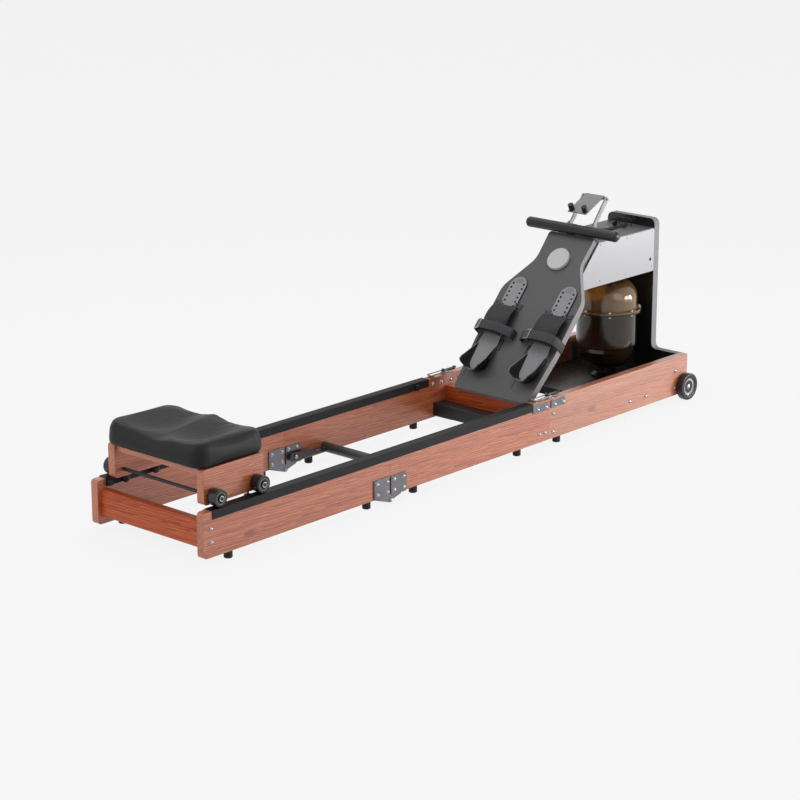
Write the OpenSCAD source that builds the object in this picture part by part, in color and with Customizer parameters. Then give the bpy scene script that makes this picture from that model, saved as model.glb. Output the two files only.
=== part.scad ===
// Folding water rowing machine in three hinged wooden sections.
// X runs from the seat end to the water tank, Z is up, the floor is at z = 0.

/* [Frame] */
// Length of the rear section
rear_l = 711; // [650:1:760]
// Length of the middle section
mid_l = 706; // [650:1:760]
// Length of the front base section
base_l = 703; // [690:1:760]
// Width over the outer faces of the side boards
frame_w = 435; // [425:1:455]
// Thickness of the side boards
board_t = 25; // [22:0.5:27]
// Height of the side boards
board_h = 125; // [120:1:135]
// Height of the rubber feet under the boards
foot_h = 20.5; // [19:0.5:26]
// Radius of the rubber feet
foot_r = 12; // [9:0.5:12.5]
// Radius of the rounded board corners
board_round = 10; // [4:0.5:16]
// Gap where two sections butt together
joint_gap = 0.6; // [0.4:0.1:2]

/* [Rails] */
// Sheet thickness of the rail caps
rail_t = 2; // [1.5:0.1:3]
// Depth of the rail's outer leg
rail_leg = 22; // [16:0.5:30]
// Distance of the rail's start from the rear end
rail_set = 31; // [28:1:36]
// Distance of the rail's end from the front joint
rail_stop = 79; // [78:1:100]
// Distance of the front end stop from the front joint
stop_set = 146; // [146:1:200]

/* [Seat] */
// Length of the wooden carriage
carriage_l = 218; // [200:1:230]
// Width over the carriage boards
carriage_w = 368; // [356:1:368]
// Height of the carriage boards
carriage_h = 97; // [85:1:110]
// Distance of the carriage from the rear end
carriage_x = 35; // [34:1:60]
// Radius of the seat rollers
roller_r = 23.5; // [20:0.5:26]
// Width of the seat rollers
roller_w = 28; // [20:0.5:29]
// Radius of the axle rods
axle_r = 5; // [4:0.5:6]
// Radius of the side guide rollers
guide_r = 11; // [9:0.5:12]
// Length of the seat pad
pad_l = 252; // [235:1:270]
// Width of the seat pad
pad_w = 376; // [350:1:385]
// Height of the seat pad at its shoulders
pad_h = 66; // [55:1:75]

/* [Footboard] */
// Length of the footboard along its slope
footboard_l = 583; // [570:1:600]
// Thickness of the footboard
footboard_t = 22; // [18:0.5:25]
// Slope of the footboard in degrees
foot_angle = 48; // [46:0.5:50]
// Width of the footboard at its widest place
footboard_w = 313; // [300:1:330]
// Width of the footboard's neck
neck_w = 170; // [160:1:190]
// Distance between the two foot beds
bed_pitch = 195; // [185:1:205]
// Width of the tongue with the holes
tongue_w = 62; // [54:1:66]
// Spacing of the adjustment holes
hole_pitch = 15.6; // [14:0.1:17]
// Number of adjustment holes in each row
hole_count = 6; // [3:1:6]

/* [Tank] */
// Outer radius of the tank
tank_r = 96; // [88:1:100]
// Wall thickness of the tank
tank_wall = 4; // [3:0.5:6]
// Height of the tank's seam
seam_z = 285; // [275:1:295]
// Width of the seam flange outside the wall
flange_w = 13; // [11:0.5:15]
// Number of seam bolts
seam_bolts = 8; // [6:1:12]
// Radius of the impeller's blades
blade_r = 76; // [60:1:80]
// Radius of the impeller shaft
shaft_r = 6; // [5:0.5:8]

/* [Top housing] */
// Height of the front panel above the deck
panel_rise = 28; // [16:1:50]
// Thickness of the front panel
panel_t = 25; // [20:0.5:27]
// Width of the front panel's upright
panel_w = 186; // [176:1:200]
// Depth of the deck's upper face below the footboard's upper end
deck_drop = 13.2; // [8:0.2:22]
// Lower edge of the side panels
side_z = 401; // [396:1:408]

/* [Handle] */
// Length of the handle
handle_l = 356; // [320:1:400]
// Radius of the handle
handle_r = 16.5; // [12:0.5:18]
// Width of the pull strap
strap_w = 24; // [18:1:28]
// Thickness of the pull strap
strap_t = 2; // [1.2:0.1:2.4]

/* [Wheels] */
// Radius of the transport wheels
wheel_r = 43; // [36:1:44]
// Width of the transport wheels
wheel_w = 22; // [16:1:28]
// Distance of the wheel axle from the front end
wheel_set = 16; // [14:1:30]

/* [Hidden] */
$fn = 48;
// Running clearance between two bodies
run = 0.3;
// Radial clearance of a turning fit
fit = 0.06;
// Play between parts of one assembly
play = 0.2;

frame_l = rear_l + mid_l + base_l;
wheel_out = max(0, wheel_r - wheel_set);
rx = -(frame_l + wheel_out) / 2;
mx = rx + rear_l;
fx = mx + mid_l;
ex = fx + base_l;
out_y = frame_w / 2;
in_y = out_y - board_t;
mid_y = out_y - board_t / 2;
bot_z = foot_h;
top_z = foot_h + board_h;
rail_top = top_z + rail_t;
rail_end = fx - rail_stop;
wheel_z = wheel_r;
wheel_y = -out_y - 3;
wheel_hub = wheel_w - 5;

// Steel plates and their dome-head bolts
plate_t = 4;
head_r = 6.6;
head_h = 4.5;
pin_r = 4;

// Rear and front fold pivots
mid_pin_z = 8;
front_pin_z = 12;
lobe_r = 7.5;

// Rear and front cross members
rear_beam_x = rx + 27;
rear_beam_t = 30;
rear_beam_z = [42, 118];
cross_x = fx + 20;
cross_t = 30;
cross_low = 25;
tube_x = fx - 31;
tube_w = 50;
tube_z = [26, 66];
lug_y = 175;
lug_w = 17;
lug_t = 4;
lock_x = mx + 165;
lock_z = 39;
lock_r = 14.5;
stay_y = 178;
stay_pin = [mx + 31, 42];

// Seat carriage
roller_inset = 31;
guide_reach = 54;
car_x = rx + carriage_x;
car_mid = car_x + carriage_l / 2;
car_y = carriage_w / 2;
roller_z = rail_top + roller_r + run;
roller_y = car_y + 4;
car_z = rail_top + 3;
guide_y = in_y - rail_t - guide_r - run;
guide_h = 14;
pad_z = car_z + carriage_h;

// Top housing skins
panel_skin = 3;

// Footboard frame: origin on the lower front edge, x up the slope, z out of the face
foot_x = fx - 16;
foot_z = 120;
deck_z = foot_z + footboard_l * sin(foot_angle) - deck_drop;
panel_top = deck_z + panel_rise;
cross_top = foot_z - footboard_t * cos(foot_angle) - play
    + (cross_x - cross_t / 2 - foot_x - footboard_t * sin(foot_angle)) * tan(foot_angle);

// Tank and drive
tank_x = ex - 142;
platform_z = [40, 65];
platform_x = fx + 320;
flange_t = 4.5;
seal_t = 1.4;
tank_top = seam_z + 95;
tank_low = 97;
bearing_z = side_z + 4;
bearing_h = 18;
bearing_x = tank_x - 150;
drum_z = deck_z - 40;
drum_r = 22;
roll_x = ex - 68;
roll_z = deck_z - 24;
roll_r = 15;

// Handle
handle_x = foot_x + footboard_l * cos(foot_angle);
collar_t = 0.8;
handle_z = foot_z + footboard_l * sin(foot_angle) + handle_r + collar_t + run;
eye_drop = 8;

// Front joint latches
latch_y = mid_y;
lever_x = fx + 9;
lever_z = top_z + 9.5;
bail_r = 1.6;
bail_in = 10;
bail_half = 9.5;
bail_bend_r = 3;
hook_x = fx - 57;
latch_plate_h = 25.5;

wood = "#b5653f";
steel = "#77777a";
black = "#26262a";
grey = "#5d5d5f";

// A pair of mirror images on the near and far sides
module both() {
    children();
    mirror([0, 1, 0]) children();
}

// A profile drawn in X and Z, extruded from y to y + t
module side_plate(y, t) {
    translate([0, y + t, 0]) rotate([90, 0, 0]) linear_extrude(t) children();
}

// A cylinder along Y from y to y + l
module rod_y(x, y, z, r, l) {
    translate([x, y + l, z]) rotate([90, 0, 0]) cylinder(r = r, h = l);
}

// A rectangle with rounded corners at one end or both
module rounded(l, h, r, rear = true, front = true) {
    offset(r = r) offset(delta = -r) square([l, h]);
    if (!rear) square([l / 2, h]);
    if (!front) translate([l / 2, 0]) square([l / 2, h]);
}

// The dome head of a bolt, lying on the plane y with its dome outwards
module dome_near(x, y, z, r = head_r, h = head_h) {
    translate([x, y, z]) rotate([90, 0, 0]) rotate_extrude()
        intersection() {
            translate([0, h - (r * r + h * h) / (2 * h)]) circle(r = (r * r + h * h) / (2 * h));
            square([r, h]);
        }
}

// A foot with a wider rubber sole
module foot(x, y) {
    translate([x, y, 0]) rotate_extrude() polygon([
        [0, 0], [foot_r - 1.5, 0], [foot_r, 1.5], [foot_r, foot_h], [0, foot_h]]);
}

// Wooden side boards
module board(xa, xb, rear, front) {
    side_plate(-out_y, board_t)
        translate([xa, bot_z]) rounded(xb - xa, board_h, board_round, rear, front);
}

module rear_boards() {
    color(wood) both() board(rx, mx - joint_gap / 2, true, false);
}

module mid_boards() {
    color(wood) both() board(mx + joint_gap / 2, fx - joint_gap / 2, false, false);
}

module base_boards() {
    color(wood) both() board(fx + joint_gap / 2, ex, false, false);
}

// A rail cap over the board's top edge, with a fine groove beside its inner edge
module rail(xa, xb) {
    color(black) translate([xa, 0, 0]) rotate([90, 0, 90]) linear_extrude(xb - xa)
        difference() {
            translate([-out_y - rail_t, rail_top - rail_leg - rail_t])
                square([board_t + 2 * rail_t, rail_leg + rail_t]);
            translate([-out_y, 0]) square([board_t, top_z]);
            translate([-in_y - 2.2, rail_top - 0.8]) square([1.2, 2]);
        }
}

// A rubber end stop on the inner face of a rail
module stop_block(x) {
    translate([x, -in_y + rail_t, rail_top - rail_leg]) cube([14, 10, rail_leg - 6]);
}

module rear_rails() {
    both() rail(rx + rail_set, mx - joint_gap / 2);
}

module mid_rails() {
    both() rail(mx + joint_gap / 2, rail_end);
}

// Rear cross beam with a rounded top
module rear_beam() {
    color(wood) side_plate(-in_y + play / 2, 2 * in_y - play)
        translate([rear_beam_x - rear_beam_t / 2, rear_beam_z[0]])
            offset(r = 6) offset(delta = -6)
                square([rear_beam_t, rear_beam_z[1] - rear_beam_z[0]]);
}

// Hinge plates of the rear joint, with a lobe that holds the pivot pin
module rear_plate_outline() {
    difference() {
        union() {
            translate([mx - 67, 21.5]) rounded(62, 55.5, 3);
            hull() {
                translate([mx, mid_pin_z]) circle(r = lobe_r, $fn = 32);
                translate([mx - 66, 21.5]) square([61, 8]);
            }
        }
        translate([mx, mid_pin_z]) circle(r = pin_r + fit);
    }
}

module rear_hinge_plates() {
    color(steel) both() {
        side_plate(-out_y - plate_t, plate_t) rear_plate_outline();
        side_plate(-in_y, plate_t) rear_plate_outline();
    }
}

rear_plate_bolts = [[-55, 65], [-13.5, 64], [-54, 34], [-13.5, 34]];

module rear_bolts() {
    color(steel) both() {
        for (b = rear_plate_bolts) {
            dome_near(mx + b[0], -out_y - plate_t, b[1]);
            mirror([0, 1, 0]) dome_near(mx + b[0], in_y - plate_t, b[1]);
        }
        for (z = [61.7, 98.3]) dome_near(rear_beam_x, -out_y, z);
    }
}

module rear_rubber() {
    color(black) both() {
        foot(rx + 97, -mid_y);
        foot(rx + 628, -mid_y);
        stop_block(rx + rail_set + 1);
    }
}

// Middle section: hinge plates, pivot lug, pin and the latch keepers
module mid_plate_outline() {
    translate([mx + 1.5, 20]) rounded(63.5, 55.5, 3);
}

module mid_lug_outline() {
    difference() {
        hull() {
            translate([mx, mid_pin_z]) circle(r = lobe_r, $fn = 32);
            translate([mx + 6, bot_z - 6]) square([44, 6]);
        }
        translate([mx, mid_pin_z]) circle(r = pin_r + play);
    }
}

// Side plate of the latch and the low hook that its bail lies over
module keeper() {
    side_plate(-out_y - 3, 3)
        translate([fx - rail_stop + 1, top_z - 29]) rounded(rail_stop - 7, latch_plate_h, 3);
    side_plate(-latch_y - 7, 14) polygon([
        [hook_x - 8, top_z], [hook_x + 15, top_z], [hook_x + 15, top_z + 1.6],
        [hook_x + 8, top_z + 1.6], [hook_x + 3, top_z + 5], [hook_x, top_z + 5],
        [hook_x, top_z + 1.6], [hook_x - 8, top_z + 1.6]]);
}

module mid_brackets() {
    color(steel) both() {
        side_plate(-out_y - plate_t, plate_t) mid_plate_outline();
        side_plate(-in_y, plate_t) mid_plate_outline();
        side_plate(-out_y + 2.5, board_t - 5) mid_lug_outline();
        keeper();
    }
}

// Pivot pins and bolts that belong to the middle section
module mid_bolts() {
    color(steel) both() {
        for (b = [[14.5, 65], [54, 64.5], [15, 34], [54, 33]])
            dome_near(mx + b[0], -out_y - plate_t, b[1]);
        for (b = [[14.5, 65], [48.5, 65]])
            mirror([0, 1, 0]) dome_near(mx + b[0], in_y - plate_t, b[1]);
        rod_y(mx, -out_y - plate_t - 1, mid_pin_z, pin_r, board_t + 2 * plate_t + 2);
        dome_near(mx, -out_y - plate_t - 1, mid_pin_z, 6.5, 4);
        mirror([0, 1, 0]) dome_near(mx, in_y - plate_t - 1, mid_pin_z, 6.5, 4);
        for (x = [fx - 56, fx - 18]) {
            dome_near(x, -out_y - 3, top_z - 19);
            mirror([0, 1, 0]) dome_near(x, in_y, top_z - 19);
        }
        for (x = [tube_x - 13, tube_x + 13]) dome_near(x, -out_y, 46);
        rod_y(stay_pin[0], plate_t - in_y, stay_pin[1], pin_r, in_y - plate_t - stay_y + 3);
        rod_y(stay_pin[0], plate_t - in_y, stay_pin[1], pin_r + 4, in_y - plate_t - stay_y - 2 - run);
        mirror([0, 1, 0]) dome_near(stay_pin[0], stay_y - 3, stay_pin[1]);
    }
}

module mid_rubber() {
    color(black) both() {
        foot(mx + 110.5, -mid_y);
        foot(mx + 571.5, -mid_y);
        stop_block(fx - stop_set);
    }
}

// Box tube across the middle section, with the lugs of the front joint under it
module mid_crossbar() {
    color(black) {
        side_plate(-in_y + play / 2, 2 * in_y - play) difference() {
            translate([tube_x - tube_w / 2, tube_z[0]])
                rounded(tube_w, tube_z[1] - tube_z[0], 3);
            translate([tube_x - tube_w / 2 + 3, tube_z[0] + 3])
                square([tube_w - 6, tube_z[1] - tube_z[0] - 6]);
        }
        both() for (y = [-lug_y - lug_w / 2 - run - lug_t, -lug_y + lug_w / 2 + run])
            side_plate(y, lug_t) difference() {
                hull() {
                    translate([fx, front_pin_z]) circle(r = lobe_r, $fn = 32);
                    translate([tube_x - 15, tube_z[0] - 4]) square([38, 4]);
                }
                translate([fx, front_pin_z]) circle(r = pin_r + fit);
                hull() for (x = [fx - 27, fx - 15]) translate([x, 20]) circle(r = 2.2, $fn = 24);
            }
    }
}

// Lock bar: a cross tube on two channel arms that hold the rear joint straight
module stay_arm() {
    side_plate(-stay_y - 2, 4) difference() {
        hull() {
            translate([stay_pin[0] - 12, stay_pin[1]]) circle(r = 13, $fn = 32);
            translate([lock_x - 22, lock_z + 1]) circle(r = 8, $fn = 32);
        }
        translate(stay_pin) circle(r = pin_r + fit);
        hull() for (x = [lock_x - 50, lock_x - 24]) translate([x, lock_z + 1]) circle(r = 2.6, $fn = 24);
    }
}

module lock_bar() {
    color(grey) {
        both() stay_arm();
        rod_y(lock_x, -in_y + run, lock_z, lock_r, 2 * (in_y - run));
        both() translate([lock_x - 23, -stay_y - 8, lock_z - 6]) cube([12, 16, 12]);
    }
}

// Front base
module base_crossbeam() {
    color(wood) side_plate(-in_y + play / 2, 2 * in_y - play)
        translate([cross_x - cross_t / 2, cross_low]) square([cross_t, cross_top - cross_low]);
}

module tank_platform() {
    color(black) translate([platform_x, -in_y + play / 2, platform_z[0]])
        cube([ex - panel_t - play - platform_x, 2 * in_y - play, platform_z[1] - platform_z[0]]);
}

// Front panel: full width between the boards, then a narrow upright with filleted shoulders
module front_panel() {
    color(black) translate([ex - panel_t, 0, 0]) rotate([90, 0, 90]) linear_extrude(panel_t) {
        offset(r = -18) offset(r = 18) {
            translate([-in_y + play / 2, bot_z + 2]) square([2 * in_y - play, board_h - 2]);
            translate([-panel_w / 2, bot_z + 2]) square([panel_w, 200]);
        }
        translate([-panel_w / 2, 180]) offset(r = 20) offset(delta = -20)
            square([panel_w, panel_top - 180]);
        translate([-panel_w / 2, 180]) square([panel_w, 60]);
    }
}

// Where the footboard narrows to its neck, and the disc's place on it
neck_start = footboard_l - 218;
neck_end = footboard_l - 103;
disc_u = footboard_l - 93;

module footboard_half_outline() {
    offset(r = 70) offset(r = -140) offset(r = 70) polygon([
        [-250, 0], [-250, footboard_w / 2 - 32], [170, footboard_w / 2],
        [neck_start, footboard_w / 2], [neck_end, neck_w / 2], [footboard_l, neck_w / 2 + 3],
        [footboard_l + 250, neck_w / 2 + 3], [footboard_l + 250, -neck_w / 2 - 3],
        [footboard_l, -neck_w / 2 - 3], [neck_end, -neck_w / 2], [neck_start, -footboard_w / 2],
        [170, -footboard_w / 2], [-250, -footboard_w / 2 + 32]]);
}

module footboard_outline() {
    offset(r = 9) offset(delta = -9) intersection() {
        footboard_half_outline();
        translate([0, -footboard_w]) square([footboard_l, 2 * footboard_w]);
    }
}

// Places children in the footboard's own frame
module on_footboard() {
    translate([foot_x, 0, foot_z]) rotate([0, -foot_angle, 0]) children();
}

module footboard() {
    color(grey) on_footboard() difference() {
        translate([0, 0, -footboard_t]) linear_extrude(footboard_t) footboard_outline();
        for (s = [-1, 1]) {
            translate([strap_u - 1, s * slot_y - strap_band / 2 - 0.3, -footboard_t - 1])
                cube([32, strap_band + 0.6, footboard_t + 2]);
            translate([0, s * bed_pitch / 2, 0]) heel_recess();
        }
    }
}

// Shallow rounded recess that a foot bed slides down into
module heel_recess() {
    translate([28, 0, -1.5]) linear_extrude(3) offset(r = 20) offset(delta = -20)
        translate([0, -36]) square([90, 72]);
}

module footboard_disc() {
    color("#b9b9b9") on_footboard() translate([disc_u, 0, 0]) rotate_extrude($fn = 72)
        polygon([[0, 0], [38, 0], [38, 8], [36, 10], [33, 10], [31, 9], [0, 9]]);
}

// Foot bed: a tongue with two rows of holes, a sole and a flared heel cup
bed_t = 4;
heel_u = 98;
heel_r = 34;
cup_h = 42;
cup_flare = 13;

module bed_outline() {
    translate([heel_u, 0]) circle(r = heel_r);
    for (s = [0, 1]) mirror([0, s, 0]) polygon([
        [heel_u, 0], [heel_u, heel_r], [138, 39.5], [150, 38.4], [172, 36.5], [215, 31],
        [262, tongue_w / 2], [262, 0]]);
    translate([255, -tongue_w / 2]) square([120, tongue_w]);
    translate([375, 0]) circle(r = tongue_w / 2);
}

module foot_bed() {
    difference() {
        translate([0, 0, run]) linear_extrude(bed_t) bed_outline();
        for (i = [0:hole_count - 1], s = [-1, 1])
            translate([381 - i * hole_pitch, s * 20.5, 0]) cylinder(r = 3.6, h = 8);
    }
    for (i = [0:3]) translate([386 + i * 4.6, 0, run + bed_t]) linear_extrude(0.8)
        square([1.8, 34 - i * 6], center = true);
    intersection() {
        translate([heel_u, 0, run]) rotate([0, 0, 90]) rotate_extrude(angle = 180) polygon([
            [heel_r - 3.5, 0], [heel_r, 0], [heel_r + cup_flare, cup_h],
            [heel_r + cup_flare - 3.5, cup_h], [heel_r - 3.5, bed_t]]);
        side_plate(-90, 180) polygon([[20, -1], [heel_u + 2, -1], [heel_u + 2, 34],
            [heel_u - 24, cup_h + 3], [heel_u - 36, 26], [20, 20]]);
    }
    for (s = [-1, 1]) hull() {
        translate([heel_u - 1, s * (heel_r - 2.6), run + 0.5]) cube([3, 3, 1], center = true);
        translate([heel_u - 1, s * (heel_r + 9), 33]) cube([3, 3, 1], center = true);
        translate([heel_u + 62, s * 35, run + bed_t - 0.5]) cube([3, 3, 1], center = true);
    }
}

module foot_bed_left() {
    color("#7d7d7d") on_footboard() translate([0, bed_pitch / 2, 0]) foot_bed();
}

module foot_bed_right() {
    color("#7d7d7d") on_footboard() translate([0, -bed_pitch / 2, 0]) foot_bed();
}

// A band along a path that arches over a foot, drawn across the slope
module band(path, t) {
    difference() {
        offset(r = 14) offset(delta = -14) polygon(path);
        offset(r = 14 - t) offset(delta = -14) polygon(path);
    }
}

module across(u, w) {
    translate([u, 0, 0]) rotate([90, 0, 90]) linear_extrude(w) children();
}

slot_y = 18;
strap_u = 192;
strap_band = 3;
strap_w_top = 46;
strap_side_w = 34;
strap_in_w = 22;
strap_half = 30;
strap_edge = footboard_w / 2 - 2;
flap_half = 46;
flap_neck = 28;
flap_t = 4;
// The instep flap's upper face, from its free front edge to the neck under the strap
flap_top = [[300, 10.5], [291, 19], [276, 27], [255, 35], [strap_u + 35, 40.5]];

module foot_straps() {
    c = bed_pitch / 2;
    color("#3c3c3e") on_footboard() both() {
        across(strap_u, 30) difference() {
            band([[slot_y - strap_band / 2, -60], [slot_y - strap_band / 2, strap_in_w],
                [c - strap_half, strap_w_top], [c + strap_half, strap_w_top],
                [strap_edge - 4, strap_side_w], [strap_edge, -60]], strap_band);
            translate([0, -100]) square([slot_y + 8, 100 - footboard_t - 4]);
            translate([slot_y + 8, -100]) square([200, 100]);
        }
        side_plate(c - flap_half, 2 * flap_half)
            polygon(concat(flap_top, [for (i = [4:-1:0]) flap_top[i] - [flap_t - 1, flap_t - 1]]));
        side_plate(c - flap_neck, 2 * flap_neck) polygon([
            [strap_u + 37, 39.7], [strap_u + 28, 43], [strap_u + 2, 43], [strap_u + 2, 40],
            [strap_u + 28, 40], [strap_u + 36, 36.5]]);
    }
}

// Buckles, slotted side guides and the clips that hold each tongue down
module foot_hardware() {
    color(steel) on_footboard() for (s = [-1, 1]) translate([0, s * bed_pitch / 2, 0]) {
        for (side = [-1, 1]) difference() {
            translate([150, side * 44 - 5, 0]) cube([38, 10, 3]);
            translate([156, side * 44 - 2, -1]) cube([26, 4, 5]);
        }
        for (side = [-1, 1]) mirror([0, side < 0 ? 1 : 0, 0]) difference() {
            union() {
                translate([299, tongue_w / 2 + 0.6, 0]) cube([16, 20, 3]);
                translate([299, tongue_w / 2 + 0.6, 0]) cube([16, 3, bed_t + 2 * run + 2]);
                translate([299, tongue_w / 2 - 4, bed_t + 2 * run]) cube([16, 7, 2]);
            }
            translate([307, tongue_w / 2 + 15, -1]) cylinder(r = 2.5, h = 5);
        }
        fall = s > 0 ? atan2(strap_w_top - strap_side_w, strap_edge - 4 - bed_pitch / 2 - strap_half)
            : atan2(strap_w_top - strap_in_w, bed_pitch / 2 - strap_half - slot_y + strap_band / 2);
        translate([strap_u - 2.5, strap_half, strap_w_top]) rotate([-fall, 0, 0])
            translate([0, 1.5, 0.1]) difference() {
                cube([34, 22, 2.4]);
                for (y = [2.5, 12.5]) translate([3.5, y, -1]) cube([27, 7, 5]);
            }
    }
}

// Tank shells
module tank_upper() {
    z0 = seam_z + seal_t;
    color([0.62, 0.42, 0.18, 0.6]) translate([tank_x, 0, 0]) difference() {
        rotate_extrude($fn = 96) polygon(concat(
            [[tank_r - tank_wall, z0], [tank_r + flange_w, z0],
            [tank_r + flange_w, z0 + flange_t], [tank_r, z0 + flange_t], [tank_r, seam_z + 38]],
            [for (a = [10:10:80]) [46 + (tank_r - 46) * cos(a), seam_z + 38 + 55 * sin(a)]],
            [[46, seam_z + 93], [22, seam_z + 95], [22, seam_z + 104], [shaft_r + fit, seam_z + 104],
            [shaft_r + fit, seam_z + 90], [46, seam_z + 93 - tank_wall]],
            [for (a = [80:-10:10]) [46 - 2 + (tank_r - tank_wall - 44) * cos(a),
                seam_z + 38 + (55 - tank_wall) * sin(a)]],
            [[tank_r - tank_wall, seam_z + 38]]));
        flange_holes(z0);
        translate([-48, 0, seam_z + 70]) cylinder(r = 9, h = 40);
        at_vent() translate([0, 0, -15]) cylinder(r = 5, h = 30);
    }
}

module flange_holes(z) {
    for (i = [0:seam_bolts - 1]) rotate([0, 0, i * 360 / seam_bolts + 42])
        translate([tank_r + flange_w / 2, 0, z - 1]) cylinder(r = 2.2, h = flange_t + 2);
}

module tank_lower() {
    z1 = seam_z - flange_t;
    color([0.45, 0.36, 0.26, 0.6]) translate([tank_x, 0, 0]) difference() {
        rotate_extrude($fn = 96) polygon(concat(
            [[tank_r - tank_wall, seam_z], [tank_r + flange_w, seam_z],
            [tank_r + flange_w, z1], [tank_r, z1], [tank_r, 172], [tank_r - 5, 168]],
            [for (a = [0:-10:-80]) [30 + (tank_r - 35) * cos(a), 168 + (168 - tank_low) * sin(a)]],
            [[30, tank_low], [0, tank_low], [0, tank_low + tank_wall], [30, tank_low + tank_wall]],
            [for (a = [-80:10:0]) [30 + (tank_r - tank_wall - 35) * cos(a),
                168 + (168 - tank_wall - tank_low) * sin(a)]],
            [[tank_r - tank_wall, 176]]));
        flange_holes(z1);
    }
}

// Places children on the dome where the vent cap sits
module at_vent() {
    rotate([0, 0, 230]) translate([59, 0, seam_z + 91]) rotate([0, 16, 0]) children();
}

module tank_seal() {
    color(black) translate([tank_x, 0, 0]) {
        translate([0, 0, seam_z]) rotate_extrude($fn = 96)
            translate([tank_r - 3, 0]) square([6, seal_t]);
        at_vent() translate([0, 0, -9]) cylinder(r = 5 - fit, h = 12);
        at_vent() translate([0, 0, 0.5]) cylinder(r = 9, h = 5);
    }
}

module flange_bolts() {
    color("#b59a62") translate([tank_x, 0, 0]) for (i = [0:seam_bolts - 1])
        rotate([0, 0, i * 360 / seam_bolts + 42]) translate([tank_r + flange_w / 2, 0, 0]) {
            translate([0, 0, seam_z - flange_t - 4]) cylinder(r = 4, h = 4, $fn = 6);
            translate([0, 0, seam_z - flange_t - 4]) cylinder(r = 2, h = 2 * flange_t + seal_t + 8);
            translate([0, 0, seam_z + seal_t + flange_t]) cylinder(r = 4.2, h = 3.5);
        }
}

// Pedestal under the tank, and the bearing plate above it
module tank_mounts() {
    color(black) {
        translate([tank_x, 0, platform_z[1]]) rotate_extrude()
            polygon([[0, 0], [46, 0], [46, 5], [30, 12], [28, tank_low - platform_z[1]],
                [0, tank_low - platform_z[1]]]);
        difference() {
            union() {
                translate([bearing_x, -panel_w / 2 + panel_skin + play, bearing_z])
                    cube([ex - panel_t - play - bearing_x, panel_w - 2 * (panel_skin + play), 6]);
                translate([tank_x, 0, bearing_z]) cylinder(r = 22, h = bearing_h);
            }
            translate([tank_x, 0, bearing_z - 1]) cylinder(r = shaft_r + fit, h = 40);
            translate([tank_x - 48, 0, bearing_z - 1]) cylinder(r = 16, h = 8);
        }
    }
}

module impeller() {
    color("#3b3b3e") translate([tank_x, 0, 0]) difference() {
        union() {
            translate([0, 0, 132]) cylinder(r = 17, h = 76);
            for (i = [0:5]) rotate([0, 0, i * 60]) rotate([90, 0, 0]) linear_extrude(4, center = true)
                polygon([[10, 138], [blade_r - 22, 138], [blade_r, 160], [blade_r, 202], [10, 202]]);
            translate([0, 0, 168]) cylinder(r = blade_r - 10, h = 3);
        }
        translate([0, 0, 120]) cylinder(r = shaft_r, h = 100);
    }
}

module impeller_shaft() {
    color("#b9b9bd") translate([tank_x, 0, 112]) cylinder(r = shaft_r, h = deck_z - deck_t - 112 - 2);
}

module fill_plug() {
    color(black) translate([tank_x - 48, 0, 0]) rotate_extrude()
        polygon([[0, seam_z + 84], [8.8, seam_z + 84], [8.8, tank_top - 0.5 + 1.2], [15, tank_top + 0.9],
            [15, tank_top + 5], [13, tank_top + 7], [0, tank_top + 7]]);
}

// Top housing
slot_w = 34;
deck_t = 18;

module top_deck() {
    x0 = handle_x - 12;
    color(grey) difference() {
        translate([x0, -panel_w / 2 + panel_skin + play, deck_z - deck_t])
            cube([ex - panel_t - play - x0, panel_w - 2 * (panel_skin + play), deck_t]);
        translate([x0 + 114, -slot_w / 2, deck_z - 30]) cube([ex - 30 - x0 - 114, slot_w, 40]);
        before_footboard();
    }
}

// Everything in front of the footboard's back face, cut from what stands behind it
module before_footboard() {
    on_footboard() translate([0, -200, -footboard_t - play]) cube([900, 400, 300]);
}

module side_panels() {
    xa = ex - 430;
    xb = ex - panel_t - play;
    color("#d2d2d2") both() difference() {
        union() {
            side_plate(-panel_w / 2, panel_skin) polygon([
                [xa, side_z], [xb, side_z], [xb, deck_z - 2], [xa, deck_z - 2]]);
            translate([xa, -panel_w / 2 + panel_skin, side_z]) cube([xb - xa, 9, 2]);
        }
        before_footboard();
        rod_y(ex - 43.5, -panel_w, side_z + 40.4, 5, panel_w);
    }
}

module base_fasteners() {
    color(steel) both() {
        for (x = [ex - 305, ex - 169, ex - 35], z = [deck_z - 9, side_z + 15.5])
            dome_near(x, -panel_w / 2, z, 3, 1.6);
        for (z = [41, 98]) dome_near(cross_x, -out_y, z);
        for (x = [platform_x + 82, platform_x + 165]) dome_near(x, -out_y, 52);
        dome_near(ex - 65, -out_y, 102);
        dome_near(ex - 63, -out_y, 44.5, 4, 2.6);
        for (x = [fx + 24, fx + 64]) {
            dome_near(x, -out_y - 3, top_z - 19);
            mirror([0, 1, 0]) dome_near(x, in_y, top_z - 19);
        }
        rod_y(ex - wheel_set, wheel_y - wheel_hub - run, wheel_z, 6, wheel_hub + run - wheel_y - out_y);
        dome_near(ex - wheel_set, wheel_y - wheel_hub - run, wheel_z, 9, 3);
        rod_y(fx, -lug_y - lug_w / 2 - run - lug_t - 1, front_pin_z, pin_r, lug_w + 2 * (run + lug_t + 1));
    }
}

module base_feet() {
    color(black) both() foot(fx + 53, -mid_y);
}

// Latch bases on the boards, corner angles of the front panel and the front joint's lugs
module latch_base() {
    side_plate(-out_y - 3, 3) translate([fx + 7, top_z - 29]) rounded(66, latch_plate_h, 3);
    translate([fx + 1, -latch_y - 9, top_z]) cube([26, 18, 3]);
    for (y = [-7.5, 5.3]) side_plate(-latch_y + y, 2.2) difference() {
        union() {
            translate([lever_x, lever_z]) circle(r = 5);
            translate([lever_x - 5, top_z + 2.9]) square([10, lever_z - top_z - 2.9]);
        }
        translate([lever_x, lever_z]) circle(r = 2 + fit);
    }
}

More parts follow.
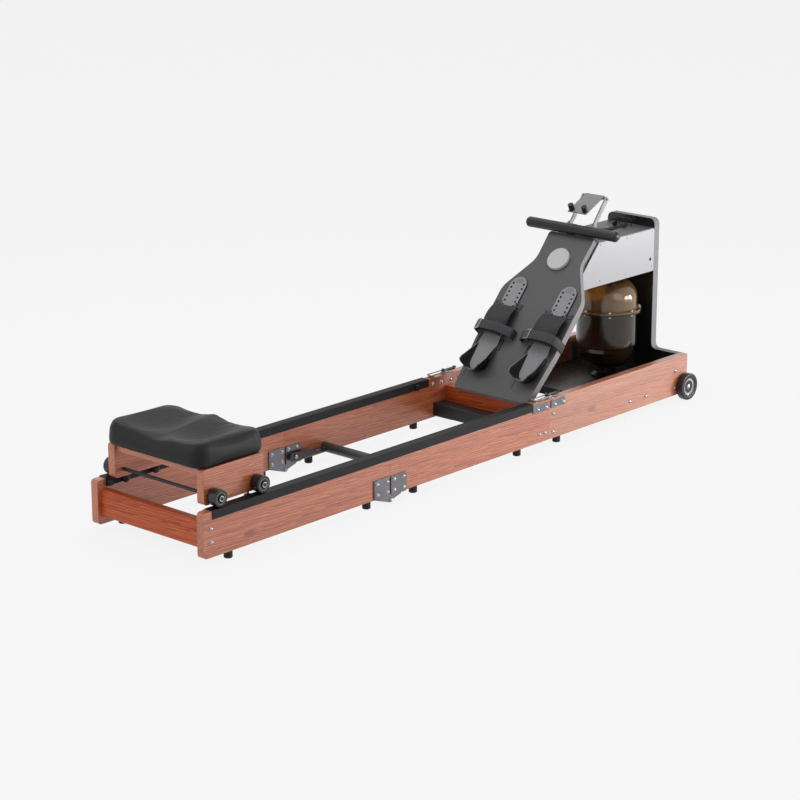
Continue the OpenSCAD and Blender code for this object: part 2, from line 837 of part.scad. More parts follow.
module base_brackets() {
    color(steel) both() {
        latch_base();
        side_plate(-lug_y - lug_w / 2, lug_w) difference() {
            union() {
                translate([fx, front_pin_z]) circle(r = lobe_r);
                translate([fx - 4, front_pin_z]) square([cross_x - cross_t / 2 - fx + 4, 46]);
            }
            translate([fx, front_pin_z]) circle(r = pin_r + play);
        }
        translate([ex - panel_t - 44, -in_y, platform_z[1] + 1]) cube([44, 3, 60]);
        translate([ex - panel_t - 3, -in_y + 3, platform_z[1] + 1]) cube([3, 32, 60]);
    }
}

// Toggle latch: lever and wire bail
module latch_lever() {
    color(black) {
        side_plate(-5, 10) difference() {
            union() {
                translate([lever_x, lever_z]) circle(r = 4.4);
                translate([lever_x - 2, lever_z - 4.4]) square([30, 6.4]);
                polygon([[lever_x + 24, lever_z - 4.4], [lever_x + 45, lever_z - 4.4],
                    [lever_x + 52, lever_z + 3], [lever_x + 49, lever_z + 5],
                    [lever_x + 42, lever_z + 2], [lever_x + 24, lever_z + 2]]);
            }
            translate([lever_x + bail_in, lever_z - 2]) circle(r = bail_r + fit);
        }
        rod_y(lever_x, -7.5, lever_z, 2, 15);
    }
}

module bail_bend(x, y, turn) {
    translate([x, y, lever_z - 2]) rotate([0, 0, turn]) rotate_extrude(angle = 90)
        translate([bail_bend_r, 0]) circle(r = bail_r, $fn = 24);
}

module latch_bail() {
    xa = hook_x - 2 - bail_r;
    xb = lever_x + bail_in;
    run_y = bail_half - bail_bend_r;
    color("#d9d9dc") {
        for (s = [-1, 1]) translate([xa + bail_bend_r, s * bail_half, lever_z - 2])
            rotate([0, 90, 0]) cylinder(r = bail_r, h = xb - xa - 2 * bail_bend_r, $fn = 24);
        rod_y(xa, -run_y, lever_z - 2, bail_r, 2 * run_y);
        rod_y(xb, -run_y, lever_z - 2, bail_r, 2 * run_y);
        bail_bend(xb - bail_bend_r, run_y, 0);
        bail_bend(xa + bail_bend_r, run_y, 90);
        bail_bend(xa + bail_bend_r, -run_y, 180);
        bail_bend(xb - bail_bend_r, -run_y, 270);
    }
}

module latch_lever_near() { translate([0, -latch_y, 0]) latch_lever(); }
module latch_lever_far() { translate([0, latch_y, 0]) latch_lever(); }
module latch_bail_near() { translate([0, -latch_y, 0]) latch_bail(); }
module latch_bail_far() { translate([0, latch_y, 0]) latch_bail(); }

// Transport wheel with a rounded tyre and a recessed hub
module wheel() {
    rotate([90, 0, 0]) color(black) rotate_extrude($fn = 72) difference() {
        union() {
            offset(r = 4) offset(delta = -4) translate([wheel_r - 14, 0]) square([14, wheel_w]);
            translate([wheel_r - 15, 2]) square([6, wheel_w - 4]);
            translate([6 + fit, 1]) square([wheel_r - 22, wheel_w - 3]);
        }
        translate([3, wheel_hub]) square([wheel_r - 19, 10]);
    }
}

module wheel_near() {
    translate([ex - wheel_set, wheel_y, wheel_z]) wheel();
}

module wheel_far() {
    mirror([0, 1, 0]) wheel_near();
}

// Handle with domed ends, a centre collar and the strap's eye
module handle_bar() {
    color(black) translate([handle_x, 0, handle_z]) {
        rotate([90, 0, 0]) rotate_extrude() polygon(concat(
            [[0, -handle_l / 2]],
            [for (a = [-75:15:0]) [handle_r * cos(a), -handle_l / 2 + handle_r * (1 + sin(a)) * 0.7]],
            [for (a = [0:15:75]) [handle_r * cos(a), handle_l / 2 - handle_r * (1 - sin(a)) * 0.7]],
            [[0, handle_l / 2]]));
        difference() {
            rod_y(0, -13, 0, handle_r + collar_t, 26);
            rod_y(0, -15, 0, handle_r - 3, 30);
        }
        difference() {
            translate([handle_r - 4, -strap_w / 2 - 4, -eye_drop - 4]) cube([10, strap_w + 8, 8]);
            translate([handle_r + 0.5, -strap_w / 2 - 0.3, -eye_drop - 5])
                cube([3, strap_w + 0.6, 10]);
        }
    }
}

// Pull strap: a straight run, half a turn round the roller, a twisted run and its turns on the drum
strap_x0 = handle_x + handle_r + 6.4;
strap_z0 = handle_z - eye_drop;
strap_mid_r = roll_r + run + strap_t / 2;
strap_span = norm([roll_x - strap_x0, roll_z - strap_z0]);
strap_tilt = atan2(roll_z - strap_z0, roll_x - strap_x0) + asin(strap_mid_r / strap_span);
drum_mid_r = drum_r + run + strap_t / 2;
drum_turn = 260;
wrap_n = 16;
twist_n = 12;
drum_n = 26;
// Where on the drum the strap meets it at a tangent
leave = acos(drum_mid_r / (roll_x - tank_x));

// The strap's section at p, with its width along w and its thickness along n
function strap_ring(p, w, n) = [for (c = [[-1, -1], [1, -1], [1, 1], [-1, 1]])
    p + c[0] * strap_w / 2 * w + c[1] * strap_t / 2 * n];

function wrap_ring(a) = let (n = [cos(a), 0, sin(a)])
    strap_ring([roll_x, 0, roll_z] + strap_mid_r * n, [0, 1, 0], n);

function drum_ring(a) = let (n = [cos(a), sin(a), 0])
    strap_ring([tank_x, 0, drum_z] + drum_mid_r * n, [0, 0, 1], n);

// The run from the roller to the drum turns from lying flat to standing on edge
function twist_ring(f) = let (
    a = 90 * f * f * (3 - 2 * f),
    side = [sin((90 - leave) * f), cos((90 - leave) * f), 0],
    start = [roll_x, 0, roll_z - strap_mid_r],
    end = [tank_x + drum_mid_r * cos(leave), drum_mid_r * sin(leave), drum_z])
    strap_ring(start + (end - start) * f, side * cos(a) + [0, 0, sin(a)],
        side * sin(a) - [0, 0, cos(a)]);

strap_rings = concat(
    [strap_ring([strap_x0, 0, strap_z0], [0, 1, 0], [-sin(strap_tilt), 0, cos(strap_tilt)])],
    [for (i = [0:wrap_n]) wrap_ring(90 + strap_tilt - i / wrap_n * (180 + strap_tilt))],
    [for (i = [1:twist_n]) twist_ring(i / twist_n)],
    [for (i = [1:drum_n]) drum_ring(leave + i / drum_n * drum_turn)]);

module pull_strap() {
    last = len(strap_rings) - 1;
    color("#1c1c1e") polyhedron(
        points = [for (r = strap_rings) each r],
        faces = concat([[0, 1, 2, 3]],
            [for (i = [0:last - 1], j = [0:3]) [4 * i + j, 4 * i + 4 + j, 4 * i + (j + 1) % 4]],
            [for (i = [0:last - 1], j = [0:3])
                [4 * i + (j + 1) % 4, 4 * i + 4 + j, 4 * i + 4 + (j + 1) % 4]],
            [[4 * last + 3, 4 * last + 2, 4 * last + 1, 4 * last]]));
}

module strap_roller() {
    color("#c8c8cc") translate([roll_x, 0, roll_z]) rotate([90, 0, 0])
        translate([0, 0, -strap_w / 2 - 3]) difference() {
            cylinder(r = roll_r, h = strap_w + 6);
            translate([0, 0, -1]) cylinder(r = 4 + fit, h = strap_w + 8);
        }
}

module strap_drum() {
    color("#2f2f33") translate([tank_x, 0, drum_z]) difference() {
        union() {
            translate([0, 0, -strap_w / 2 - 3]) cylinder(r = drum_r + 8, h = 2);
            translate([0, 0, -strap_w / 2 - 1.5]) cylinder(r = drum_r, h = strap_w + 3);
            translate([0, 0, strap_w / 2 + 1]) cylinder(r = drum_r + 8, h = 2);
            translate([0, 0, -strap_w / 2 - 20]) cylinder(r = drum_r + 14, h = 16);
        }
        translate([0, 0, -60]) cylinder(r = shaft_r + fit, h = 120);
    }
}

// Wire guide over the slot and the roller's axle
module strap_guide() {
    color("#c8c8cc") {
        rod_y(roll_x, -slot_w / 2 - 4, roll_z, 4, slot_w + 8);
        both() side_plate(-slot_w / 2 - 3, 3) translate([roll_x - 9, roll_z - 10])
            square([18, deck_z - deck_t - roll_z + 10]);
        for (s = [-1, 1]) {
            translate([roll_x + 12, s * 24, deck_z]) cylinder(r = 1.6, h = 22, $fn = 24);
            translate([roll_x + 12, s * 24, deck_z + 22]) sphere(r = 1.6, $fn = 24);
        }
        rod_y(roll_x + 12, -24, deck_z + 22, 1.6, 48);
        both() side_plate(-slot_w / 2 - 3, 2) translate([roll_x - 28, deck_z]) rounded(22, 15, 6, true, true);
    }
}

// Phone holder
arm_x = handle_x + 48;
arm_z = deck_z + 34;
arm_l = 102;
arm_angle = 51;
arm_y = 42;
tray_l = 96;
tray_angle = 26;
tray_x = arm_x + arm_l * cos(arm_angle);
tray_z = arm_z + arm_l * sin(arm_angle);

module holder_base() {
    color(grey) {
        both() side_plate(-arm_y - 9, 4) difference() {
            union() {
                translate([arm_x - 9, deck_z]) square([18, arm_z - deck_z]);
                translate([arm_x, arm_z]) circle(r = 9);
            }
            translate([arm_x, arm_z]) circle(r = 4 + fit);
        }
        translate([arm_x - 9, -arm_y - 9, deck_z + 22.5]) cube([12, 2 * arm_y + 18, 3.5]);
        both() translate([arm_x - 12, -arm_y - 22, deck_z]) cube([24, 18, 3]);
    }
}

module holder_arm() {
    color("#8d8d90") {
        both() side_plate(-arm_y - 4.7, 5) difference() {
            hull() {
                translate([arm_x, arm_z]) circle(r = 7, $fn = 32);
                translate([tray_x, tray_z]) circle(r = 8, $fn = 32);
            }
            translate([tray_x, tray_z]) circle(r = 3 + fit);
        }
        rod_y(arm_x, -arm_y - 14, arm_z, 4, 14.5);
        mirror([0, 1, 0]) rod_y(arm_x, -arm_y - 14, arm_z, 4, 14.5);
    }
}

// Tray with a rolled top edge and two rubber stops
module phone_tray() {
    color("#9a9a9c") translate([tray_x, 0, tray_z]) rotate([0, -tray_angle, 0]) {
        translate([-tray_l, -36, 6]) cube([tray_l + 2, 72, 3.5]);
        difference() {
            translate([-2, -36, -1]) cube([9, 72, 8]);
            rod_y(0, -37, 0, 3, 74);
        }
        rod_y(0, -arm_y - 9, 0, 3, 2 * arm_y + 18);
        for (s = [-1, 1]) translate([-tray_l + 10, s * 26, 9.5]) cylinder(r = 9, h = 20);
    }
}

// Seat carriage
module carriage() {
    color(wood) {
        both() side_plate(-car_y, board_t) difference() {
            translate([car_x, car_z]) rounded(carriage_l, carriage_h, board_round);
            for (x = [car_x + roller_inset, car_x + carriage_l - roller_inset])
                translate([x, roller_z]) circle(r = axle_r + play);
        }
        translate([car_x + 8, -car_y + board_t + play, pad_z - 20])
            cube([carriage_l - 16, 2 * (car_y - board_t - play), 18]);
    }
}

module seat_rods() {
    color(grey) {
        for (x = [car_x + roller_inset, car_x + carriage_l - roller_inset]) {
            rod_y(x, -roller_y - roller_w - 5, roller_z, axle_r, 2 * (roller_y + roller_w + 5));
            both() rod_y(x, -roller_y - roller_w - run - 3, roller_z, axle_r + 3, 3);
            both() rod_y(x, -roller_y + run, roller_z, axle_r + 3, roller_y - run - car_y);
        }
        for (x = [car_mid - guide_reach, car_mid + guide_reach]) both() {
            translate([x, -guide_y, car_z - guide_h - 10]) cylinder(r = 3, h = guide_h + 10);
            translate([x, -guide_y, car_z - guide_h - 12]) cylinder(r = 6, h = 3, $fn = 6);
        }
    }
}

module roller_pair(x) {
    color(black) both() translate([x, -roller_y, roller_z]) rotate([90, 0, 0]) rotate_extrude()
        difference() {
            translate([axle_r + fit, 0]) offset(r = 2) offset(delta = -2)
                square([roller_r - axle_r - fit, roller_w]);
            translate([axle_r - 2, roller_w - 4]) square([8, 6]);
        }
}

module rollers_rear() { roller_pair(car_x + roller_inset); }
module rollers_front() { roller_pair(car_x + carriage_l - roller_inset); }

module guide_roller(x, s) {
    color(black) translate([x, s * guide_y, car_z - guide_h - 8]) rotate_extrude()
        translate([3 + fit, 0]) offset(r = 1.5) offset(delta = -1.5) square([guide_r - 3 - fit, guide_h]);
}

module guide_roller_rear_near() { guide_roller(car_mid - guide_reach, -1); }
module guide_roller_rear_far() { guide_roller(car_mid - guide_reach, 1); }
module guide_roller_front_near() { guide_roller(car_mid + guide_reach, -1); }
module guide_roller_front_far() { guide_roller(car_mid + guide_reach, 1); }

// Seat pad: rounded skirt, raised sides, two hollows and a ridge that rises towards the front
pad_corner = 38;

// Half of the pad's outline at scale k, from the middle of the front edge to that of the rear one
function pad_half(k) = let (x = k * pad_l / 2, y = k * pad_w / 2, r = k * pad_corner) concat(
    [for (i = [0:4]) [x, i / 5 * (y - r)]],
    [for (a = [0:22.5:90]) [x - r + r * cos(a), y - r + r * sin(a)]],
    [for (i = [1:5]) [(1 - i / 3) * (x - r), y]],
    [for (a = [90:22.5:180]) [r - x + r * cos(a), y - r + r * sin(a)]],
    [for (i = [4:-1:1]) [-x, i / 5 * (y - r)]]);

function pad_outline(k) = concat(pad_half(k), [for (p = pad_half(k)) -p]);

function pad_top(p) = let (
    along = p[0] / (pad_l / 2),
    wing = (14 - 4 * along) * pow(min(1, abs(p[1]) / (pad_w / 2)), 3),
    hollow = -19 * exp(-pow((abs(p[1]) - 80) / 62, 2)) * exp(-pow((p[0] + 8) / 78, 2)),
    nose = 11 * along * exp(-pow(p[1] / 34, 2)))
    pad_h - 9 + wing + hollow + nose;

function pad_ring(k, z) = [for (p = pad_outline(k)) [p[0], p[1], z]];

function pad_at(k, drop) = [for (p = pad_outline(k)) [p[0], p[1], pad_top(p) - drop]];

pad_rings = concat(
    [pad_ring(0.97, 0)], [pad_ring(1, 6)], [pad_ring(1, 18)],
    [pad_at(0.985, 24)], [pad_at(0.955, 10)], [pad_at(0.93, 3)], [pad_at(0.89, 0)],
    [for (k = [0.82, 0.72, 0.6, 0.47, 0.34, 0.2]) pad_at(k, 0)]);

module seat_pad() {
    n = len(pad_rings);
    pad_seg = len(pad_rings[0]);
    color("#29292b") translate([car_mid, 0, pad_z]) polyhedron(
        points = concat([for (r = pad_rings) each r], [[0, 0, 0], [0, 0, pad_top([0, 0])]]),
        faces = concat(
            [for (i = [0:n - 2], j = [0:pad_seg - 1])
                [i * pad_seg + j, (i + 1) * pad_seg + j, (i + 1) * pad_seg + (j + 1) % pad_seg]],
            [for (i = [0:n - 2], j = [0:pad_seg - 1])
                [i * pad_seg + j, (i + 1) * pad_seg + (j + 1) % pad_seg, i * pad_seg + (j + 1) % pad_seg]],
            [for (j = [0:pad_seg - 1]) [n * pad_seg, j, (j + 1) % pad_seg]],
            [for (j = [0:pad_seg - 1])
                [n * pad_seg + 1, (n - 1) * pad_seg + (j + 1) % pad_seg, (n - 1) * pad_seg + j]]));
}

base_boards();
base_crossbeam();
tank_platform();
front_panel();
footboard();
footboard_disc();
top_deck();
tank_mounts();
side_panels();
base_fasteners();
tank_upper();
tank_lower();
tank_seal();
flange_bolts();
base_feet();
base_brackets();
strap_guide();
holder_base();
foot_straps();
foot_hardware();
pull_strap();
strap_roller();
strap_drum();
handle_bar();
foot_bed_left();
foot_bed_right();
impeller();
impeller_shaft();
fill_plug();
holder_arm();
phone_tray();
latch_lever_near();
latch_lever_far();
latch_bail_near();
latch_bail_far();
wheel_near();
wheel_far();
mid_boards();
mid_rails();
mid_crossbar();
mid_brackets();
mid_bolts();
mid_rubber();
lock_bar();
rear_boards();
rear_rails();
rear_beam();
rear_hinge_plates();
rear_bolts();
rear_rubber();
carriage();
seat_pad();
seat_rods();
rollers_rear();
rollers_front();
guide_roller_rear_near();
guide_roller_rear_far();
guide_roller_front_near();
guide_roller_front_far();
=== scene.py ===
import math

import bpy
from mathutils import Matrix, Vector


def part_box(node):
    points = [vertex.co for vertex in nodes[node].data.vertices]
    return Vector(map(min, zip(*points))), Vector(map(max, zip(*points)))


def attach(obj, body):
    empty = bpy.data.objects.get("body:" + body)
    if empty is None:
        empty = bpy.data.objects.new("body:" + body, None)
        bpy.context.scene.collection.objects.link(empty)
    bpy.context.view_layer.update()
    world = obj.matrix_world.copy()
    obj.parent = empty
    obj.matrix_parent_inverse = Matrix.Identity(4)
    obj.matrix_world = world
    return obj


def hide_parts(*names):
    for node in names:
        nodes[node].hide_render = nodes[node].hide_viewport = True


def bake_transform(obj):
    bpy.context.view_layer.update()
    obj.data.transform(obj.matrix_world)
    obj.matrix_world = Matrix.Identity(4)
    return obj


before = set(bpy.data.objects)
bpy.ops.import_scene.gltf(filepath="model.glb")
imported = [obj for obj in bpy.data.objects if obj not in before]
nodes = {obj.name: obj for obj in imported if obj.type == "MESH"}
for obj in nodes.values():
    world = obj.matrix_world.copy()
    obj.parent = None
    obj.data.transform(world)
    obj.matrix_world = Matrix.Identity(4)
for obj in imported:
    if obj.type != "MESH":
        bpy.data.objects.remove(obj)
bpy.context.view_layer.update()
bpy.ops.object.select_all(action="DESELECT")

# Directions: up, and along the machine towards the tank

UP = (0, 0, 1)
FORWARD = (1, 0, 0)


# Places and sizes that the model has, in metres

FRONT_JOINT = 0.3435
FRONT_END = 1.0465
TANK_SETBACK = 0.142
TANK_X = FRONT_END - TANK_SETBACK
# the footboard's slope, its lower edge and the direction straight off its face
FOOT_SLOPE = math.radians(48)
EDGE_SETBACK = 0.016
EDGE_HEIGHT = 0.120
FOOT_EDGE = Vector((FRONT_JOINT - EDGE_SETBACK, 0, EDGE_HEIGHT))
OFF_SLOPE = Vector((-math.sin(FOOT_SLOPE), 0, math.cos(FOOT_SLOPE)))
# the foot beds' distance from each other, and how far off the board the soles end and the buckles start
FOOT_PITCH = 0.195
SOLE_TOP = 0.0075
BUCKLES_START = 0.022
# where the wrap straps lie up the slope, and the slot that each comes out of
STRAP_UP_SLOPE = 0.207
SLOT_Y = 0.018
# the phone tray's hinge, the direction straight off the tray and where its rubber stops start
TRAY_SLOPE = math.radians(26)
TRAY_HINGE = Vector((0.8298, 0, 0.6533))
OFF_TRAY = Vector((-math.sin(TRAY_SLOPE), 0, math.cos(TRAY_SLOPE)))
STOPS_START = 0.0098
# both faces of the washers on the seat's axles, from the machine's middle plane
WASHER_FACES = (0.2162, 0.2195)
WHEEL_RADIUS = 0.043
SEAT_ROLLER_RADIUS = 0.0235


# The photograph's viewpoint: a long lens 42 degrees off the machine's length, 16 degrees above it

LOOK_ACROSS = 42.01
LOOK_DOWN = 16.268

lens = bpy.data.cameras.new("photo_camera")
lens.lens = 109.607
lens.sensor_width = 36.0
lens.clip_end = 60.0
camera = bpy.data.objects.new("photo_camera", lens)
camera.location = (-5.1257, -4.5459, 2.1747)
camera.rotation_euler = (math.radians(90 - LOOK_DOWN), 0, math.radians(LOOK_ACROSS - 90))
bpy.context.scene.collection.objects.link(camera)
bpy.context.scene.camera = camera


# Tools for materials

def linear(hex_code):
    """An sRGB hex colour as the linear RGBA that shaders take."""
    out = []
    for i in (0, 2, 4):
        c = int(hex_code[i:i + 2], 16) / 255
        out.append(c / 12.92 if c <= 0.04045 else ((c + 0.055) / 1.055) ** 2.4)
    return (*out, 1.0)


def tone(colour, k):
    """A linear colour made darker or lighter by the factor k."""
    return tuple(min(1.0, c * k) for c in colour[:3]) + (1.0,)


def emptied(owner):
    """A new material or world without the nodes it comes with."""
    owner.use_nodes = True
    owner.node_tree.nodes.clear()
    return owner


def add(owner, kind, inputs=None, stops=None, **settings):
    """Adds one shader node with its settings, sets or links its inputs, and fills its colour ramp."""
    node = owner.node_tree.nodes.new("ShaderNode" + kind)
    for name, value in settings.items():
        setattr(node, name, value)
    for socket, value in (inputs or {}).items():
        if isinstance(value, bpy.types.NodeSocket):
            owner.node_tree.links.new(value, node.inputs[socket])
        else:
            node.inputs[socket].default_value = value
    if stops:
        band = node.color_ramp.elements
        while len(band) < len(stops):
            band.new(0.5)
        for element, (place, value) in zip(band, stops):
            element.position = place
            element.color = linear(value) if isinstance(value, str) else (value, value, value, 1)
    return node


def start(name):
    """An empty material and its object coordinates."""
    mat = emptied(bpy.data.materials.new(name))
    return mat, add(mat, "TexCoord").outputs["Object"]


def surface(mat, inputs):
    """Ends a material with the Principled shader."""
    shader = add(mat, "BsdfPrincipled", inputs)
    add(mat, "OutputMaterial", {"Surface": shader.outputs["BSDF"]})
    return mat


def relief(mat, height, depth, edge):
    """A surface normal with bumps of a real depth in metres over edges rounded by edge metres."""
    rounded = add(mat, "Bevel", {"Radius": edge}, samples=4)
    return add(mat, "Bump", {"Height": height, "Strength": 1.0, "Distance": depth,
                             "Normal": rounded.outputs["Normal"]}).outputs["Normal"]


# Finishes

def lacquered_hardwood(name, along, dark, mid, light, lacquer, coat_ior=1.5):
    """Reddish hardwood, planed, stained and lacquered in satin.

    It shows uneven growth lines, fine fibres and small knots.
    """
    mat, here = start(name)
    lengthwise = {"X": (0.045, 1, 1), "Y": (1, 0.045, 1)}[along]
    long_coords = add(mat, "Mapping", {"Vector": here, "Scale": lengthwise}).outputs["Vector"]
    drift = add(mat, "TexNoise", {"Vector": long_coords, "Scale": 9.0, "Detail": 3.0, "Roughness": 0.55})
    bend = add(mat, "Math", {0: drift.outputs["Fac"], 1: 26.0}, operation="MULTIPLY")
    # growth lines about 6 mm apart, bent into long flames by the drift, dark where the late wood ends
    lines = add(mat, "TexWave", {"Vector": long_coords, "Scale": 100.0, "Distortion": 7.0, "Detail": 3.0,
                                 "Detail Scale": 1.6, "Phase Offset": bend.outputs[0]},
                wave_type="BANDS", bands_direction="DIAGONAL", wave_profile="SAW")
    # streaks up to 8 mm wide, and fibres about 1 mm wide, longer still than the growth lines
    fine = tuple(v * 0.4 if v < 1 else 1 for v in lengthwise)
    drawn = add(mat, "Mapping", {"Vector": here, "Scale": fine}).outputs["Vector"]
    streaks = add(mat, "TexNoise", {"Vector": drawn, "Scale": 130.0, "Detail": 4.0, "Roughness": 0.6})
    fibres = add(mat, "TexNoise", {"Vector": drawn, "Scale": 900.0, "Detail": 2.0})
    grain = add(mat, "Mix", {0: 0.58, 2: lines.outputs["Fac"], 3: streaks.outputs["Fac"]}, data_type="FLOAT")
    shade = add(mat, "Mix", {0: 0.22, 2: grain.outputs[0], 3: drift.outputs["Fac"]}, data_type="FLOAT")
    colour = add(mat, "ValToRGB", {"Fac": shade.outputs[0]}, stops=[(0.28, dark), (0.45, mid), (0.66, light)])
    # darker knots about 18 mm wide and 40 mm long that fade at the rim and run through the thickness
    knot_scale, knot_turn = {"X": ((2.2, 5.0, 5.0), 0), "Y": ((5.0, 2.2, 5.0), math.pi / 2)}[along]
    turned = add(mat, "Mapping", {"Vector": here, "Scale": knot_scale, "Location": (0.37, 0.33, 0),
                                  "Rotation": (math.pi / 2, knot_turn, 0)})
    spots = add(mat, "TexVoronoi", {"Vector": turned.outputs["Vector"], "Scale": 1.0},
                voronoi_dimensions="2D")
    knot = add(mat, "ValToRGB", {"Fac": spots.outputs["Distance"]}, stops=[(0.02, 0.7), (0.07, 0.0)])
    stained = add(mat, "Mix", {0: knot.outputs["Color"], 6: colour.outputs["Color"], 7: linear("63290F")},
                  data_type="RGBA")
    gloss = add(mat, "ValToRGB", {"Fac": streaks.outputs["Fac"]}, stops=[(0.3, 0.46), (0.7, 0.36)])
    return surface(mat, {"Base Color": stained.outputs[2], "Roughness": gloss.outputs["Color"],
                         "Specular IOR Level": 0.28, "Coat Weight": lacquer, "Coat Roughness": 0.36,
                         "Coat IOR": coat_ior,
                         "Normal": relief(mat, fibres.outputs["Fac"], 0.0001, 0.0014)})


def even_finish(name, colour, rough, metallic=0.0, grit=600.0, depth=0.00005, spread=0.06, edge=0.0007,
                **more):
    """Paint, plastic, rubber or metal: a fine even grit and a slight drift of tone and gloss."""
    mat, here = start(name)
    fine = add(mat, "TexNoise", {"Vector": here, "Scale": grit, "Detail": 3.0, "Roughness": 0.6})
    cloud = add(mat, "TexNoise", {"Vector": here, "Scale": 11.0, "Detail": 3.0})
    base = linear(colour)
    mixed = add(mat, "Mix", {0: cloud.outputs["Fac"], 6: tone(base, 1 - spread), 7: tone(base, 1 + spread)},
                data_type="RGBA")
    gloss = add(mat, "ValToRGB", {"Fac": cloud.outputs["Fac"]},
                stops=[(0.3, max(0.03, rough - 0.05)), (0.7, min(1, rough + 0.05))])
    sockets = {"Base Color": mixed.outputs[2], "Roughness": gloss.outputs["Color"], "Metallic": metallic,
               "Normal": relief(mat, fine.outputs["Fac"], depth, edge)}
    for socket, value in more.items():
        sockets[socket.replace("_", " ")] = value
    return surface(mat, sockets)


def brushed_aluminium(name, colour, rough):
    """Aluminium sheet brushed along its length: hair lines that draw the highlight out."""
    mat, here = start(name)
    # hair lines 1 mm apart, coarser than life so that they show
    drawn = add(mat, "Mapping", {"Vector": here, "Scale": (0.02, 1, 1)}).outputs["Vector"]
    hair = add(mat, "TexNoise", {"Vector": drawn, "Scale": 1000.0, "Detail": 4.0, "Roughness": 0.7})
    base = linear(colour)
    mixed = add(mat, "Mix", {0: hair.outputs["Fac"], 6: tone(base, 0.80), 7: base}, data_type="RGBA")
    gloss = add(mat, "ValToRGB", {"Fac": hair.outputs["Fac"]},
                stops=[(0.3, rough - 0.06), (0.7, rough + 0.08)])
    return surface(mat, {"Base Color": mixed.outputs[2], "Roughness": gloss.outputs["Color"],
                         "Metallic": 0.45, "Anisotropic": 0.4,
                         "Normal": relief(mat, hair.outputs["Fac"], 0.00003, 0.0005)})


def faced_board(name, face, edge, facing, rough=0.42, shine=0.5):
    """A board, or a rail, whose face has one colour and whose edges a paler one.

    Face and edges are told apart by which way the surface points.
    """
    mat, here = start(name)
    normal = add(mat, "TexCoord").outputs["Normal"]
    turned = add(mat, "VectorMath", {0: normal, 1: facing}, operation="DOT_PRODUCT")
    size = add(mat, "Math", {0: turned.outputs["Value"]}, operation="ABSOLUTE")
    mask = add(mat, "ValToRGB", {"Fac": size.outputs[0]}, stops=[(0.82, 0.0), (0.92, 1.0)])
    # the speckle of a laminate, about 2 mm
    speck = add(mat, "TexNoise", {"Vector": here, "Scale": 500.0, "Detail": 4.0, "Roughness": 0.7})
    tint = add(mat, "ValToRGB", {"Fac": speck.outputs["Fac"]}, stops=[(0.35, 0.86), (0.65, 1.0)])
    flat = add(mat, "Mix", {0: mask.outputs["Color"], 6: linear(edge), 7: linear(face)}, data_type="RGBA")
    colour = add(mat, "Mix", {0: 1.0, 6: flat.outputs[2], 7: tint.outputs["Color"]}, data_type="RGBA",
                 blend_type="MULTIPLY")
    gloss = add(mat, "ValToRGB", {"Fac": mask.outputs["Color"]}, stops=[(0.0, 0.62), (1.0, rough)])
    return surface(mat, {"Base Color": colour.outputs[2], "Roughness": gloss.outputs["Color"],
                         "Specular IOR Level": shine,
                         "Normal": relief(mat, speck.outputs["Fac"], 0.00006, 0.0012)})


def smoked_polycarbonate(name, colour, clear, haziness=0.05):
    """Polycarbonate, blow-moulded and smoked: tinted and clear, its polished surface slowly wavy."""
    mat, here = start(name)
    wave = add(mat, "TexNoise", {"Vector": here, "Scale": 16.0, "Detail": 1.0})
    haze = add(mat, "TexNoise", {"Vector": here, "Scale": 30.0, "Detail": 3.0})
    base = linear(colour)
    mixed = add(mat, "Mix", {0: haze.outputs["Fac"], 6: tone(base, 0.85), 7: tone(base, 1.12)},
                data_type="RGBA")
    gloss = add(mat, "ValToRGB", {"Fac": haze.outputs["Fac"]},
                stops=[(0.3, haziness), (0.7, haziness + 0.07)])
    return surface(mat, {"Base Color": mixed.outputs[2], "Roughness": gloss.outputs["Color"], "IOR": 1.58,
                         "Transmission Weight": clear, "Specular IOR Level": 0.34,
                         "Coat Weight": 0.2, "Coat Roughness": 0.04,
                         "Normal": relief(mat, wave.outputs["Fac"], 0.0012, 0.0006)})


def woven_webbing(name, colour, slope, ribs):
    """Flat-woven polyester webbing: ribs across the strap and bands of thread along it.

    Both are 5 to 9 mm apart, several times coarser than life, so that they show.
    """
    mat, here = start(name)
    lie = add(mat, "Mapping", {"Vector": here, "Rotation": (0, slope, 0)}).outputs["Vector"]
    across = add(mat, "TexWave", {"Vector": lie, "Scale": ribs, "Distortion": 0.4, "Detail": 1.0},
                 wave_type="BANDS", bands_direction="X")
    along = add(mat, "TexWave", {"Vector": lie, "Scale": ribs * 0.8, "Distortion": 0.4, "Detail": 1.0},
                wave_type="BANDS", bands_direction="Y")
    weave = add(mat, "Mix", {0: 0.5, 2: across.outputs["Fac"], 3: along.outputs["Fac"]}, data_type="FLOAT")
    fuzz = add(mat, "TexNoise", {"Vector": here, "Scale": 240.0, "Detail": 3.0})
    base = linear(colour)
    mixed = add(mat, "Mix", {0: weave.outputs[0], 6: tone(base, 0.82), 7: tone(base, 1.10)},
                data_type="RGBA")
    gloss = add(mat, "ValToRGB", {"Fac": fuzz.outputs["Fac"]}, stops=[(0.3, 0.58), (0.7, 0.75)])
    return surface(mat, {"Base Color": mixed.outputs[2], "Roughness": gloss.outputs["Color"],
                         "Specular IOR Level": 0.25,
                         "Normal": relief(mat, weave.outputs[0], 0.00016, 0.0004)})


